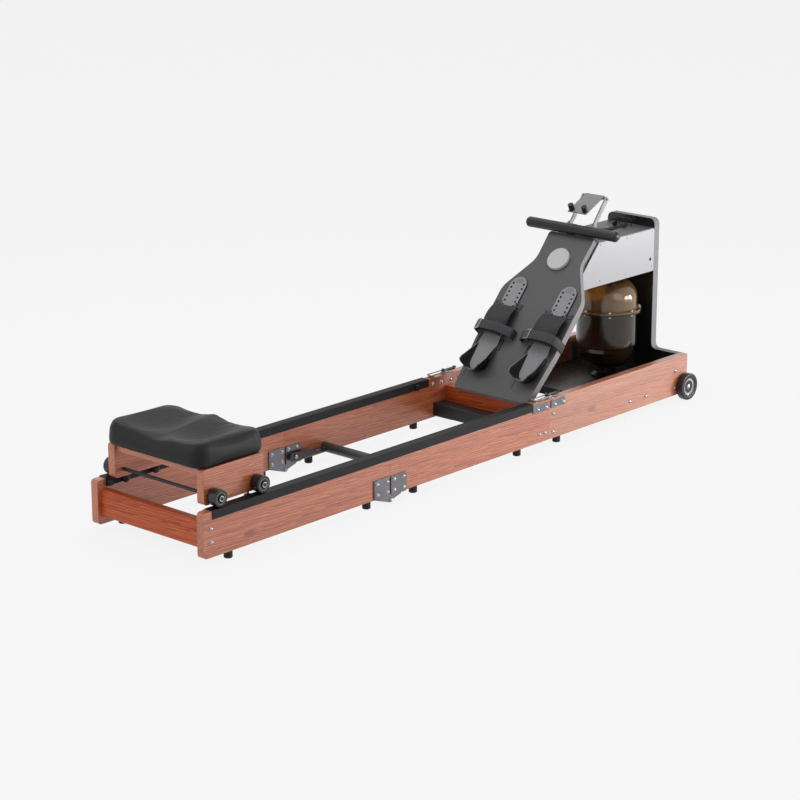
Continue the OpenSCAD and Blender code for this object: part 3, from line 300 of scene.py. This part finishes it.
def grained_skin(name, low, high, rough, cells, depth):
    """Moulded skin: a leather grain of small rounded cells, satin, with a slight drift of tone and gloss."""
    mat, here = start(name)
    grain = add(mat, "TexVoronoi", {"Vector": here, "Scale": cells}, feature="DISTANCE_TO_EDGE")
    pits = add(mat, "ValToRGB", {"Fac": grain.outputs["Distance"]}, stops=[(0.0, 0.0), (0.12, 1.0)])
    cloud = add(mat, "TexNoise", {"Vector": here, "Scale": 14.0, "Detail": 3.0})
    colour = add(mat, "ValToRGB", {"Fac": cloud.outputs["Fac"]}, stops=[(0.3, low), (0.7, high)])
    gloss = add(mat, "ValToRGB", {"Fac": cloud.outputs["Fac"]},
                stops=[(0.3, rough - 0.05), (0.7, rough + 0.06)])
    bump = add(mat, "Bump", {"Height": pits.outputs["Color"], "Strength": 1.0, "Distance": depth})
    return surface(mat, {"Base Color": colour.outputs["Color"], "Roughness": gloss.outputs["Color"],
                         "Specular IOR Level": 0.2, "Normal": bump.outputs["Normal"]})


def ringed_turning(name, centre, rings, radius):
    """A wheel's materials as rings round its axle, each from an inner radius outwards.

    A ring is given as its inner radius, its colour and how metallic it is. The last one is the tyre.
    """
    mat, here = start(name)
    flat = add(mat, "Mapping", {"Vector": here, "Location": (-centre[0], 0, -centre[2]), "Scale": (1, 0, 1)})
    away = add(mat, "VectorMath", {0: flat.outputs["Vector"]}, operation="LENGTH")
    reach = add(mat, "Math", {0: away.outputs["Value"], 1: radius}, operation="DIVIDE")
    colour = add(mat, "ValToRGB", {"Fac": reach.outputs[0]},
                 stops=[(inner / radius, hue) for inner, hue, metallic in rings])
    metal = add(mat, "ValToRGB", {"Fac": reach.outputs[0]},
                stops=[(inner / radius, metallic) for inner, hue, metallic in rings])
    colour.color_ramp.interpolation = metal.color_ramp.interpolation = "CONSTANT"
    scuffs = add(mat, "TexNoise", {"Vector": here, "Scale": 260.0, "Detail": 3.0})
    gloss = add(mat, "ValToRGB", {"Fac": scuffs.outputs["Fac"]}, stops=[(0.3, 0.26), (0.7, 0.40)])
    return surface(mat, {"Base Color": colour.outputs["Color"], "Metallic": metal.outputs["Color"],
                         "Roughness": gloss.outputs["Color"],
                         "Normal": relief(mat, scuffs.outputs["Fac"], 0.00004, 0.0007)})


def off_plane(mat, here, origin, off):
    """How far a point lies from a plane through origin, in the direction off."""
    there = add(mat, "Mapping", {"Vector": here, "Location": -origin}).outputs["Vector"]
    return add(mat, "VectorMath", {0: there, 1: off}, operation="DOT_PRODUCT").outputs["Value"]


def moulded_foot_bed(name):
    """Nylon foot bed, moulded: grey sole and tongue, and a heel cup black inside whose rim top is painted
    grey as a highlight.
    """
    mat, here = start(name)
    normal = add(mat, "TexCoord").outputs["Normal"]
    height = off_plane(mat, here, FOOT_EDGE, OFF_SLOPE)
    low = add(mat, "Math", {0: height, 1: SOLE_TOP}, operation="LESS_THAN")
    up = add(mat, "VectorMath", {0: normal, 1: OFF_SLOPE}, operation="DOT_PRODUCT")
    level = add(mat, "Math", {0: up.outputs["Value"], 1: 0.6}, operation="GREATER_THAN")
    sole = add(mat, "Math", {0: level.outputs[0], 1: low.outputs[0]}, operation="MULTIPLY")
    # faces pointing straight off the board above the sole are grey: on the tongue its own grey, on the heel
    # cup's rim a painted highlight
    tongue_and_rim_highlight = add(mat, "Math", {0: up.outputs["Value"], 1: 0.85}, operation="GREATER_THAN")
    speck = add(mat, "TexNoise", {"Vector": here, "Scale": 400.0, "Detail": 3.0})
    grey = add(mat, "ValToRGB", {"Fac": speck.outputs["Fac"]}, stops=[(0.3, "808082"), (0.7, "8C8C8E")])
    cup = add(mat, "Mix", {0: tongue_and_rim_highlight.outputs[0], 6: linear("070708"), 7: linear("606062")}, data_type="RGBA")
    colour = add(mat, "Mix", {0: sole.outputs[0], 6: cup.outputs[2], 7: grey.outputs["Color"]},
                 data_type="RGBA")
    gloss = add(mat, "ValToRGB", {"Fac": speck.outputs["Fac"]}, stops=[(0.3, 0.40), (0.7, 0.50)])
    return surface(mat, {"Base Color": colour.outputs[2], "Roughness": gloss.outputs["Color"],
                         "Specular IOR Level": 0.3,
                         "Normal": relief(mat, speck.outputs["Fac"], 0.00008, 0.0006)})


def beyond_plane(origin, off, far):
    """A mask for what lies further than far from a plane through origin."""
    def mask(mat, here):
        height = off_plane(mat, here, origin, off)
        return add(mat, "Math", {0: height, 1: far}, operation="GREATER_THAN").outputs[0]
    return mask


def between_sides(near, far):
    """A mask for what lies between two distances from the machine's middle plane, on both sides."""
    def mask(mat, here):
        place = add(mat, "SeparateXYZ", {"Vector": here})
        side = add(mat, "Math", {0: place.outputs["Y"]}, operation="ABSOLUTE")
        off_middle = add(mat, "Math", {0: side.outputs[0], 1: (near + far) / 2}, operation="SUBTRACT")
        size = add(mat, "Math", {0: off_middle.outputs[0]}, operation="ABSOLUTE")
        return add(mat, "Math", {0: size.outputs[0], 1: (far - near) / 2}, operation="LESS_THAN").outputs[0]
    return mask


def two_finishes(name, mask, first, second):
    """Two finishes on one part, each as colour, metallic and roughness, the second where the mask is 1."""
    mat, here = start(name)
    part = mask(mat, here)
    scuffs = add(mat, "TexNoise", {"Vector": here, "Scale": 300.0, "Detail": 3.0})
    colour = add(mat, "Mix", {0: part, 6: linear(first[0]), 7: linear(second[0])}, data_type="RGBA")
    metal = add(mat, "Mix", {0: part, 2: first[1], 3: second[1]}, data_type="FLOAT")
    gloss = add(mat, "Mix", {0: part, 2: first[2], 3: second[2]}, data_type="FLOAT")
    worn = add(mat, "Math", {0: scuffs.outputs["Fac"], 1: 0.16, 2: gloss.outputs[0]},
               operation="MULTIPLY_ADD")
    return surface(mat, {"Base Color": colour.outputs[2], "Metallic": metal.outputs[0],
                         "Roughness": worn.outputs[0], "Specular IOR Level": 0.35,
                         "Normal": relief(mat, scuffs.outputs["Fac"], 0.00004, 0.0005)})


# Wood: the boards have a full coat of lacquer, the beams between them a thin one
board_wood = lacquered_hardwood("lacquered hardwood, grain along the machine", "X",
                                "7C3314", "A6502B", "C0744A", 1.0, coat_ior=1.65)
# painted sheen: the tank-end boards get a paler, less red stain than the other boards
base_wood_pale_sheen = lacquered_hardwood("lacquered hardwood, tank end, paler as painted sheen", "X",
                               "823C22", "A25737", "B87450", 1.0, coat_ior=1.8)
# painted shade: the beams get a deeper red stain than the boards, for the less light and sheen they catch
beam_wood_red_shade = lacquered_hardwood("lacquered hardwood, grain across the machine", "Y",
                               "6E2409", "A8421A", "C25F2B", 0.15)

# Metals, bare, plated or painted
black_paint = even_finish("steel, black powder coated", "161618", 0.38, grit=480.0, Specular_IOR_Level=0.35)
plate_steel = even_finish("pressed steel, zinc plated", "75757A", 0.32, metallic=0.9, grit=300.0, spread=0.16)
bolt_steel = even_finish("turned steel, dark zinc", "9A9AA0", 0.24, metallic=1.0, grit=900.0, edge=0.0005)
chrome = even_finish("steel wire, bright chrome", "78787C", 0.34, metallic=1.0, depth=0.00001, spread=0.02,
                     edge=0.0003)
brass = even_finish("turned brass, lacquered", "DCC89C", 0.22, metallic=1.0, depth=0.00002, edge=0.0005)
holder_paint = even_finish("aluminium, grey powder coated", "7E7E80", 0.40, grit=480.0)
bar_paint = even_finish("steel tube, dark grey powder coated", "2C2C2F", 0.36, grit=480.0)
silver_sheet = brushed_aluminium("aluminium sheet, brushed", "949496", 0.44)
# painted shade: faces that point up or down get a darker black than the rail's sides, so the top reads as
# shaded
rail_black_painted_top = faced_board("aluminium extrusion, black anodised, dark along the track", "050506", "262628",
                         UP, rough=0.50, shine=0.16)
fittings = two_finishes("dark zinc clips under bright nickel buckles",
                        beyond_plane(FOOT_EDGE, OFF_SLOPE, BUCKLES_START),
                        ("48484C", 0.9, 0.28), ("8E8E92", 1.0, 0.26))
tray_look = two_finishes("grey powder coat with black rubber stops",
                         beyond_plane(TRAY_HINGE, OFF_TRAY, STOPS_START),
                         ("7E7E80", 0.0, 0.34), ("101012", 0.0, 0.42))
axle_look = two_finishes("dark axle rods with bright washers", between_sides(*WASHER_FACES),
                         ("343437", 0.4, 0.30), ("C0C0C2", 1.0, 0.14))

# Rubber and plastic
rubber = even_finish("moulded rubber, black", "141416", 0.60, grit=420.0, depth=0.0001,
                     Specular_IOR_Level=0.3)
grip_rubber = even_finish("moulded rubber grip, charcoal", "0E0E10", 0.30, grit=340.0, depth=0.00008,
                          Specular_IOR_Level=0.4)
black_plastic = even_finish("moulded nylon, black", "141416", 0.46, Specular_IOR_Level=0.35)
disc_plastic = even_finish("moulded ABS, pale grey", "B4B4B4", 0.40, grit=420.0)
foot_bed_look = moulded_foot_bed("moulded nylon foot bed")

# Boards other than wood
slope_board = faced_board("moulded laminate board, charcoal", "444446", "808081", OFF_SLOPE)
deck_board = faced_board("moulded laminate board, level", "464648", "707072", UP)
panel_board = faced_board("lacquered board, black face", "1C1C1E", "7C7C7E", FORWARD, rough=0.22)
gloss_board = even_finish("lacquered board, gloss black", "1A120B", 0.26, depth=0.00001,
                          Specular_IOR_Level=0.14)

# Tank and water
dome_amber = smoked_polycarbonate("smoked polycarbonate, amber", "BC9660", 0.82, haziness=0.11)
body_smoke = smoked_polycarbonate("smoked polycarbonate, dark", "261C13", 0.24, haziness=0.12)
water_tint = smoked_polycarbonate("still water seen through smoked plastic", "5A4636", 0.35)

# Straps, seat and flaps
strap_web = woven_webbing("polyester webbing, on the footboard", "39393B", FOOT_SLOPE, 42.0)
pull_web = woven_webbing("polyester webbing, pull strap", "101012", 0.0, 60.0)
pad_skin = grained_skin("moulded polyurethane skin, black", "111113", "19191B", 0.42, 520.0, 0.00012)
flap_skin = grained_skin("moulded rubber flap, charcoal", "252527", "2C2C2E", 0.55, 700.0, 0.00008)

NODE_FINISH = {
    board_wood: ["mid_boards", "rear_boards", "carriage"],
    base_wood_pale_sheen: ["base_boards"],
    beam_wood_red_shade: ["base_crossbeam", "rear_beam"],
    black_paint: ["mid_crossbar", "tank_mounts", "latch_lever_near", "latch_lever_far", "strap_guide"],
    plate_steel: ["rear_hinge_plates", "mid_brackets", "base_brackets"],
    bolt_steel: ["base_fasteners", "mid_bolts", "rear_bolts"],
    chrome: ["latch_bail_near", "latch_bail_far", "strap_roller", "impeller_shaft"],
    brass: ["flange_bolts"],
    holder_paint: ["holder_arm", "holder_base"],
    bar_paint: ["lock_bar"],
    silver_sheet: ["side_panels"],
    rail_black_painted_top: ["rear_rails", "mid_rails"],
    fittings: ["foot_hardware"],
    tray_look: ["phone_tray"],
    axle_look: ["seat_rods"],
    rubber: ["base_feet", "mid_rubber", "rear_rubber", "tank_seal"],
    grip_rubber: ["handle_bar"],
    black_plastic: ["strap_drum", "impeller", "fill_plug", "guide_roller_rear_near", "guide_roller_rear_far",
                    "guide_roller_front_near", "guide_roller_front_far"],
    disc_plastic: ["footboard_disc"],
    foot_bed_look: ["foot_bed_left", "foot_bed_right"],
    slope_board: ["footboard"],
    deck_board: ["top_deck"],
    panel_board: ["front_panel"],
    gloss_board: ["tank_platform"],
    dome_amber: ["tank_upper"],
    body_smoke: ["tank_lower"],
}

# Rings on the wheels: hub, bright rim, tyre. On the seat rollers: axle end, hub, a thin bright ring that is a
# painted highlight on the tyre's edge, tyre
WHEEL_RINGS = [(0.0, "121214", 0.0), (0.0205, "B4B6B8", 0.9), (0.0275, "121214", 0.0)]
SEAT_ROLLER_RINGS = [(0.0, "2A2A2D", 0.9), (0.0118, "0E0E10", 0.0), (0.0150, "8E8E90", 0.7),
                     (0.0160, "101012", 0.0)]


def dress(node, material):
    """Gives a CAD node its one material."""
    mesh = nodes[node].data
    mesh.materials.clear()
    mesh.materials.append(material)


def middle_of(node):
    """The middle of a CAD node's box."""
    low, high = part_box(node)
    return (low + high) / 2


for material, names in NODE_FINISH.items():
    for name in names:
        dress(name, material)
for name in ("wheel_near", "wheel_far"):
    dress(name, ringed_turning("polyurethane tyre on a bright rim", middle_of(name),
                               WHEEL_RINGS, WHEEL_RADIUS))
for pair in ("rear", "front"):
    name = "rollers_" + pair
    dress(name, ringed_turning("polyurethane roller, " + pair, middle_of(name),
                               SEAT_ROLLER_RINGS, SEAT_ROLLER_RADIUS))


# Tools for pieces

def activate(obj):
    """Selects one object alone and makes it the active one."""
    bpy.ops.object.select_all(action="DESELECT")
    obj.select_set(True)
    bpy.context.view_layer.objects.active = obj


def edit_all(obj):
    """Opens an object's mesh with everything on it selected."""
    activate(obj)
    bpy.ops.object.mode_set(mode="EDIT")
    bpy.ops.mesh.select_all(action="SELECT")


def apply(obj, kind, **settings):
    """Adds a modifier with its settings and applies it."""
    activate(obj)
    modifier = obj.modifiers.new(kind.lower(), kind)
    for name, value in settings.items():
        setattr(modifier, name, value)
    bpy.ops.object.modifier_apply(modifier=modifier.name)


def settle(obj, name, material, body, replaced, angle=40):
    """Names and dresses a finished piece, smooths it, and puts it on its body in place of CAD nodes."""
    obj.name = name
    activate(obj)
    bpy.ops.object.transform_apply(location=True, rotation=True, scale=True)
    bpy.ops.object.shade_smooth_by_angle(angle=math.radians(angle))
    obj.data.materials.clear()
    obj.data.materials.append(material)
    if body:
        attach(obj, body)
    if replaced:
        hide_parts(replaced)


def copy_of(node):
    """The CAD node's mesh as a new object with its loose triangles joined."""
    obj = bpy.data.objects.new(node + "_copy", nodes[node].data.copy())
    bpy.context.scene.collection.objects.link(obj)
    edit_all(obj)
    bpy.ops.mesh.remove_doubles(threshold=0.00002)
    bpy.ops.object.mode_set(mode="OBJECT")
    return obj


def on_footboard(obj):
    """Moves a piece drawn as (up the slope, across, off the board) to its place on the footboard."""
    obj.matrix_world = Matrix.Translation(FOOT_EDGE) @ Matrix.Rotation(-FOOT_SLOPE, 4, "Y") @ obj.matrix_world


# Seat: foam under a moulded skin, swollen by a short cloth simulation

def swell(obj, pressure, frames, cap):
    """Blows the skin up as the foam under it would, and lets no point move further than cap."""
    rest = [v.co.copy() for v in obj.data.vertices]
    activate(obj)
    cloth = obj.modifiers.new("skin", "CLOTH")
    cloth.settings.use_pressure = True
    cloth.settings.uniform_pressure_force = pressure
    cloth.settings.effector_weights.gravity = 0
    cloth.settings.quality = 4
    cloth.settings.tension_stiffness = 30
    cloth.settings.bending_stiffness = 5
    cloth.point_cache.frame_start = 1
    cloth.point_cache.frame_end = frames
    for step in range(1, frames + 1):
        bpy.context.scene.frame_set(step)
    bpy.ops.object.modifier_apply(modifier=cloth.name)
    bpy.context.scene.frame_set(1)
    for vertex, start_at in zip(obj.data.vertices, rest):
        move = vertex.co - start_at
        if move.length > cap:
            vertex.co = start_at + move * (cap / move.length)


def seat_cushion():
    """The CAD pad with an even skin, drawn in a little so that it swells back to the pad's size."""
    low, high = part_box("seat_pad")
    middle = (low + high) / 2
    length_kept, width_kept = 0.984, 0.988
    pad = copy_of("seat_pad")
    apply(pad, "REMESH", mode="VOXEL", voxel_size=0.0045)
    for vertex in pad.data.vertices:
        vertex.co.x = middle.x + (vertex.co.x - middle.x) * length_kept
        vertex.co.y = middle.y + (vertex.co.y - middle.y) * width_kept
    apply(pad, "SMOOTH", factor=0.5, iterations=1)
    swell(pad, pressure=2.0, frames=14, cap=0.005)
    # the pad lies flat on the carriage
    for vertex in pad.data.vertices:
        vertex.co.z = max(vertex.co.z, low.z)
    apply(pad, "SMOOTH", factor=0.5, iterations=1)
    apply(pad, "SUBSURF", levels=1, render_levels=1)
    settle(pad, "seat_cushion", pad_skin, "seat", "seat_pad", angle=180)


seat_cushion()


# Pull strap: the CAD run with the webbing's rounded edges, in two lengths that meet on the roller

STRAP_CUT_Z = 0.526


def strap_length(**cleared):
    """The part of the strap above or below a level cut through its turn round the roller."""
    strap = copy_of("pull_strap")
    apply(strap, "BEVEL", width=0.0006, segments=2, limit_method="ANGLE", angle_limit=math.radians(60))
    edit_all(strap)
    bpy.ops.mesh.bisect(plane_co=(0, 0, STRAP_CUT_Z), plane_no=UP, use_fill=True, **cleared)
    bpy.ops.object.mode_set(mode="OBJECT")
    return strap


def pull_strap():
    """The run to the handle, and the length wound below it."""
    # the run to the handle is put on no body, its place baked into its mesh
    run = strap_length(clear_inner=True)
    settle(run, "pull_strap_webbing", pull_web, None, "pull_strap")
    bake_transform(run)
    # the twisted length under the roller and the turns on the drum stay where they are
    wound = strap_length(clear_outer=True)
    settle(wound, "pull_strap_wound", pull_web, "base", "pull_strap")


pull_strap()


# Foot straps: webbing from the slot, over the foot and round the board's edge, with a curved flap under it

def ribbon(points, width, thick):
    """A flat band along points given as (across, off the board), its width up the slope."""
    curve = bpy.data.curves.new("band", "CURVE")
    curve.dimensions = "2D"
    curve.fill_mode = "NONE"
    curve.extrude = width / 2
    curve.resolution_u = 8
    spline = curve.splines.new("NURBS")
    spline.points.add(len(points) - 1)
    for point, (across, off) in zip(spline.points, points):
        point.co = (across, off, 0, 1)
    spline.order_u = 3
    spline.use_endpoint_u = True
    obj = bpy.data.objects.new("band", curve)
    bpy.context.scene.collection.objects.link(obj)
    activate(obj)
    bpy.ops.object.convert(target="MESH")
    obj = bpy.context.object
    # the curve's plane is across and off the board, its depth is up the slope
    obj.matrix_world = Matrix(((0, 0, 1, STRAP_UP_SLOPE), (1, 0, 0, 0), (0, 1, 0, 0), (0, 0, 0, 1)))
    bpy.ops.object.transform_apply(location=True, rotation=True, scale=True)
    apply(obj, "SOLIDIFY", thickness=thick, offset=0)
    edit_all(obj)
    bpy.ops.mesh.normals_make_consistent(inside=False)
    bpy.ops.object.mode_set(mode="OBJECT")
    apply(obj, "BEVEL", width=0.0007, segments=2, limit_method="ANGLE", angle_limit=math.radians(50))
    return obj


def foot_strap(side, name):
    """One wrap strap: out of its slot, up to the buckle, over the foot and round behind the board."""
    route = [(SLOT_Y, -0.0235), (SLOT_Y, -0.008), (SLOT_Y, 0.010), (0.0190, 0.0200), (0.030, 0.0258),
             (0.0585, 0.0397), (0.0680, 0.0444), (0.080, 0.0446), (0.115, 0.0446), (0.127, 0.0444),
             (0.137, 0.0394), (0.149, 0.0330), (0.156, 0.0270), (0.1588, 0.012), (0.1590, -0.016),
             (0.1580, -0.0240), (0.1420, -0.0245)]
    band = ribbon([(side * across, off) for across, off in route], width=0.030, thick=0.0024)
    on_footboard(band)
    settle(band, "wrap_strap_" + name, strap_web, "base", "foot_straps", angle=50)


def instep_flap(side, name):
    """A rubber flap on the instep: flat and low at the toes, arched under the strap at the ankle."""
    toe_end, length, half_width = 0.2995, 0.112, 0.0450
    toe_height, climb, side_fall = 0.0105, 0.0265, 0.013
    # shares of the length over which the flap climbs, and over which its sides come down
    climb_ends, arch_ends = 0.72, 0.62
    bpy.ops.mesh.primitive_grid_add(x_subdivisions=28, y_subdivisions=24, size=2)
    flap = bpy.context.object
    for vertex in flap.data.vertices:
        along = (1 - vertex.co.x) / 2
        across = vertex.co.y
        height = toe_height + climb * math.sin(min(1, along / climb_ends) * math.pi / 2) ** 0.9
        arch = min(1, along / arch_ends) ** 2
        vertex.co = Vector((toe_end - along * length, across * half_width,
                            height - side_fall * arch * abs(across) ** 2.4))
    flap.matrix_world = Matrix.Translation((0, side * FOOT_PITCH / 2, 0))
    bpy.ops.object.transform_apply(location=True, rotation=True, scale=True)
    apply(flap, "SOLIDIFY", thickness=0.0036, offset=-1)
    apply(flap, "BEVEL", width=0.0012, segments=3, limit_method="ANGLE", angle_limit=math.radians(50))
    on_footboard(flap)
    settle(flap, "instep_flap_" + name, flap_skin, "base", "foot_straps", angle=50)


for side, name in ((1, "left"), (-1, "right")):
    foot_strap(side, name)
    instep_flap(side, name)


# Water inside the tank, 23 mm below the seam

def tank_water():
    """A cylinder just inside the tank's wall, drawn in below it to follow the bowl's curve."""
    bottom, wall_foot, level, wall_radius = 0.1018, 0.176, 0.262, 0.0912
    flat_radius, curve_radius, clearance = 0.030, wall_radius - 0.0302, 0.0045
    bpy.ops.mesh.primitive_cylinder_add(vertices=96, radius=wall_radius, depth=level - wall_foot,
                                        end_fill_type="NGON", location=(TANK_X, 0, (level + wall_foot) / 2))
    water = bpy.context.object
    bpy.ops.object.transform_apply(location=True, rotation=True, scale=True)
    bpy.ops.object.mode_set(mode="EDIT")
    bpy.ops.mesh.select_all(action="DESELECT")
    bpy.ops.object.mode_set(mode="OBJECT")
    for face in water.data.polygons:
        face.select = face.normal.z < -0.9
    bpy.ops.object.mode_set(mode="EDIT")
    # the face that points down is drawn in along the bowl's curve, this many degrees at a time
    step = 15
    radius = wall_radius
    for turn in range(step, 90, step):
        below = flat_radius + curve_radius * math.cos(math.radians(turn)) - clearance
        drop = (wall_foot - bottom) * (math.sin(math.radians(turn)) - math.sin(math.radians(turn - step)))
        bpy.ops.mesh.extrude_region_move(TRANSFORM_OT_translate={"value": (0, 0, -drop)})
        bpy.ops.transform.resize(value=(below / radius, below / radius, 1), center_override=(TANK_X, 0, 0))
        radius = below
    bpy.ops.mesh.select_all(action="SELECT")
    bpy.ops.mesh.normals_make_consistent(inside=False)
    bpy.ops.object.mode_set(mode="OBJECT")
    settle(water, "tank_water", water_tint, "base", None, angle=35)


tank_water()


# Studio: plain pale floor and room. One broad lamp stands on the near side, two small low ones beyond the
# tank, one beyond the seat end, and the widest is overhead

def lamp(name, where, aim, size, watts):
    """A square softbox at where that faces aim."""
    data = bpy.data.lights.new(name, "AREA")
    data.shape = "SQUARE"
    data.size = size
    data.energy = watts
    obj = bpy.data.objects.new(name, data)
    obj.location = where
    obj.rotation_euler = (Vector(aim) - Vector(where)).to_track_quat("-Z", "Y").to_euler()
    bpy.context.scene.collection.objects.link(obj)


lamp("near_softbox", (0.2, -4.2, 2.2), (-0.2, 0, 0.15), 2.8, 30)
lamp("low_softbox", (3.1, -2.2, 0.40), (0.7, -0.2, 0.1), 0.75, 48)
lamp("side_softbox", (2.3, -2.9, 0.45), (-0.2, 0, 0.1), 0.9, 34)
lamp("rear_softbox", (-4.6, 1.2, 2.6), (0, 0, 0.2), 2.4, 60)
lamp("top_softbox", (0.2, 0.6, 4.6), (0, 0, 0), 3.6, 115)

PAPER = linear("F7F7F7")
WHITE = (1, 1, 1, 1)
ROOM_LIGHT = 0.32
PLAIN_SHARE = 0.93
FLOOR_SIZE = 60
FLOOR_Z = -0.0004


def seen_directly(owner):
    """1 where the camera sees a thing itself, mirrored or through glass, and 0 for the light it sends."""
    path = add(owner, "LightPath").outputs
    mirrored = add(owner, "Math", {0: path["Is Camera Ray"], 1: path["Is Glossy Ray"]}, operation="MAXIMUM")
    seen = add(owner, "Math", {0: mirrored.outputs[0], 1: path["Is Transmission Ray"]}, operation="MAXIMUM")
    return seen.outputs[0]


def studio_room():
    """A room that looks like pale paper, and lights the object less than it looks."""
    world = emptied(bpy.data.worlds.new("studio"))
    bpy.context.scene.world = world
    light = add(world, "Background", {"Color": WHITE, "Strength": ROOM_LIGHT})
    plain = add(world, "Background", {"Color": PAPER, "Strength": 1.0})
    both = add(world, "MixShader", {0: seen_directly(world), 1: light.outputs[0], 2: plain.outputs[0]})
    add(world, "OutputWorld", {"Surface": both.outputs[0]})


def studio_floor():
    """A floor of the room's colour, with a little of the object's shadow."""
    bpy.ops.mesh.primitive_plane_add(size=FLOOR_SIZE, location=(0, 0, FLOOR_Z))
    floor = bpy.context.object
    floor.name = "studio_floor"
    paper = emptied(bpy.data.materials.new("matt studio paper"))
    matt = add(paper, "BsdfDiffuse", {"Color": PAPER})
    glow = add(paper, "Emission", {"Color": PAPER, "Strength": 1.0})
    # the camera sees mostly the plain colour, and for the rest the real floor under the lamps
    share = add(paper, "Math", {0: seen_directly(paper), 1: PLAIN_SHARE}, operation="MULTIPLY")
    both = add(paper, "MixShader", {0: share.outputs[0], 1: matt.outputs[0], 2: glow.outputs[0]})
    add(paper, "OutputMaterial", {"Surface": both.outputs[0]})
    floor.data.materials.append(paper)


studio_room()
studio_floor()

bpy.context.scene.view_settings.view_transform = "Standard"
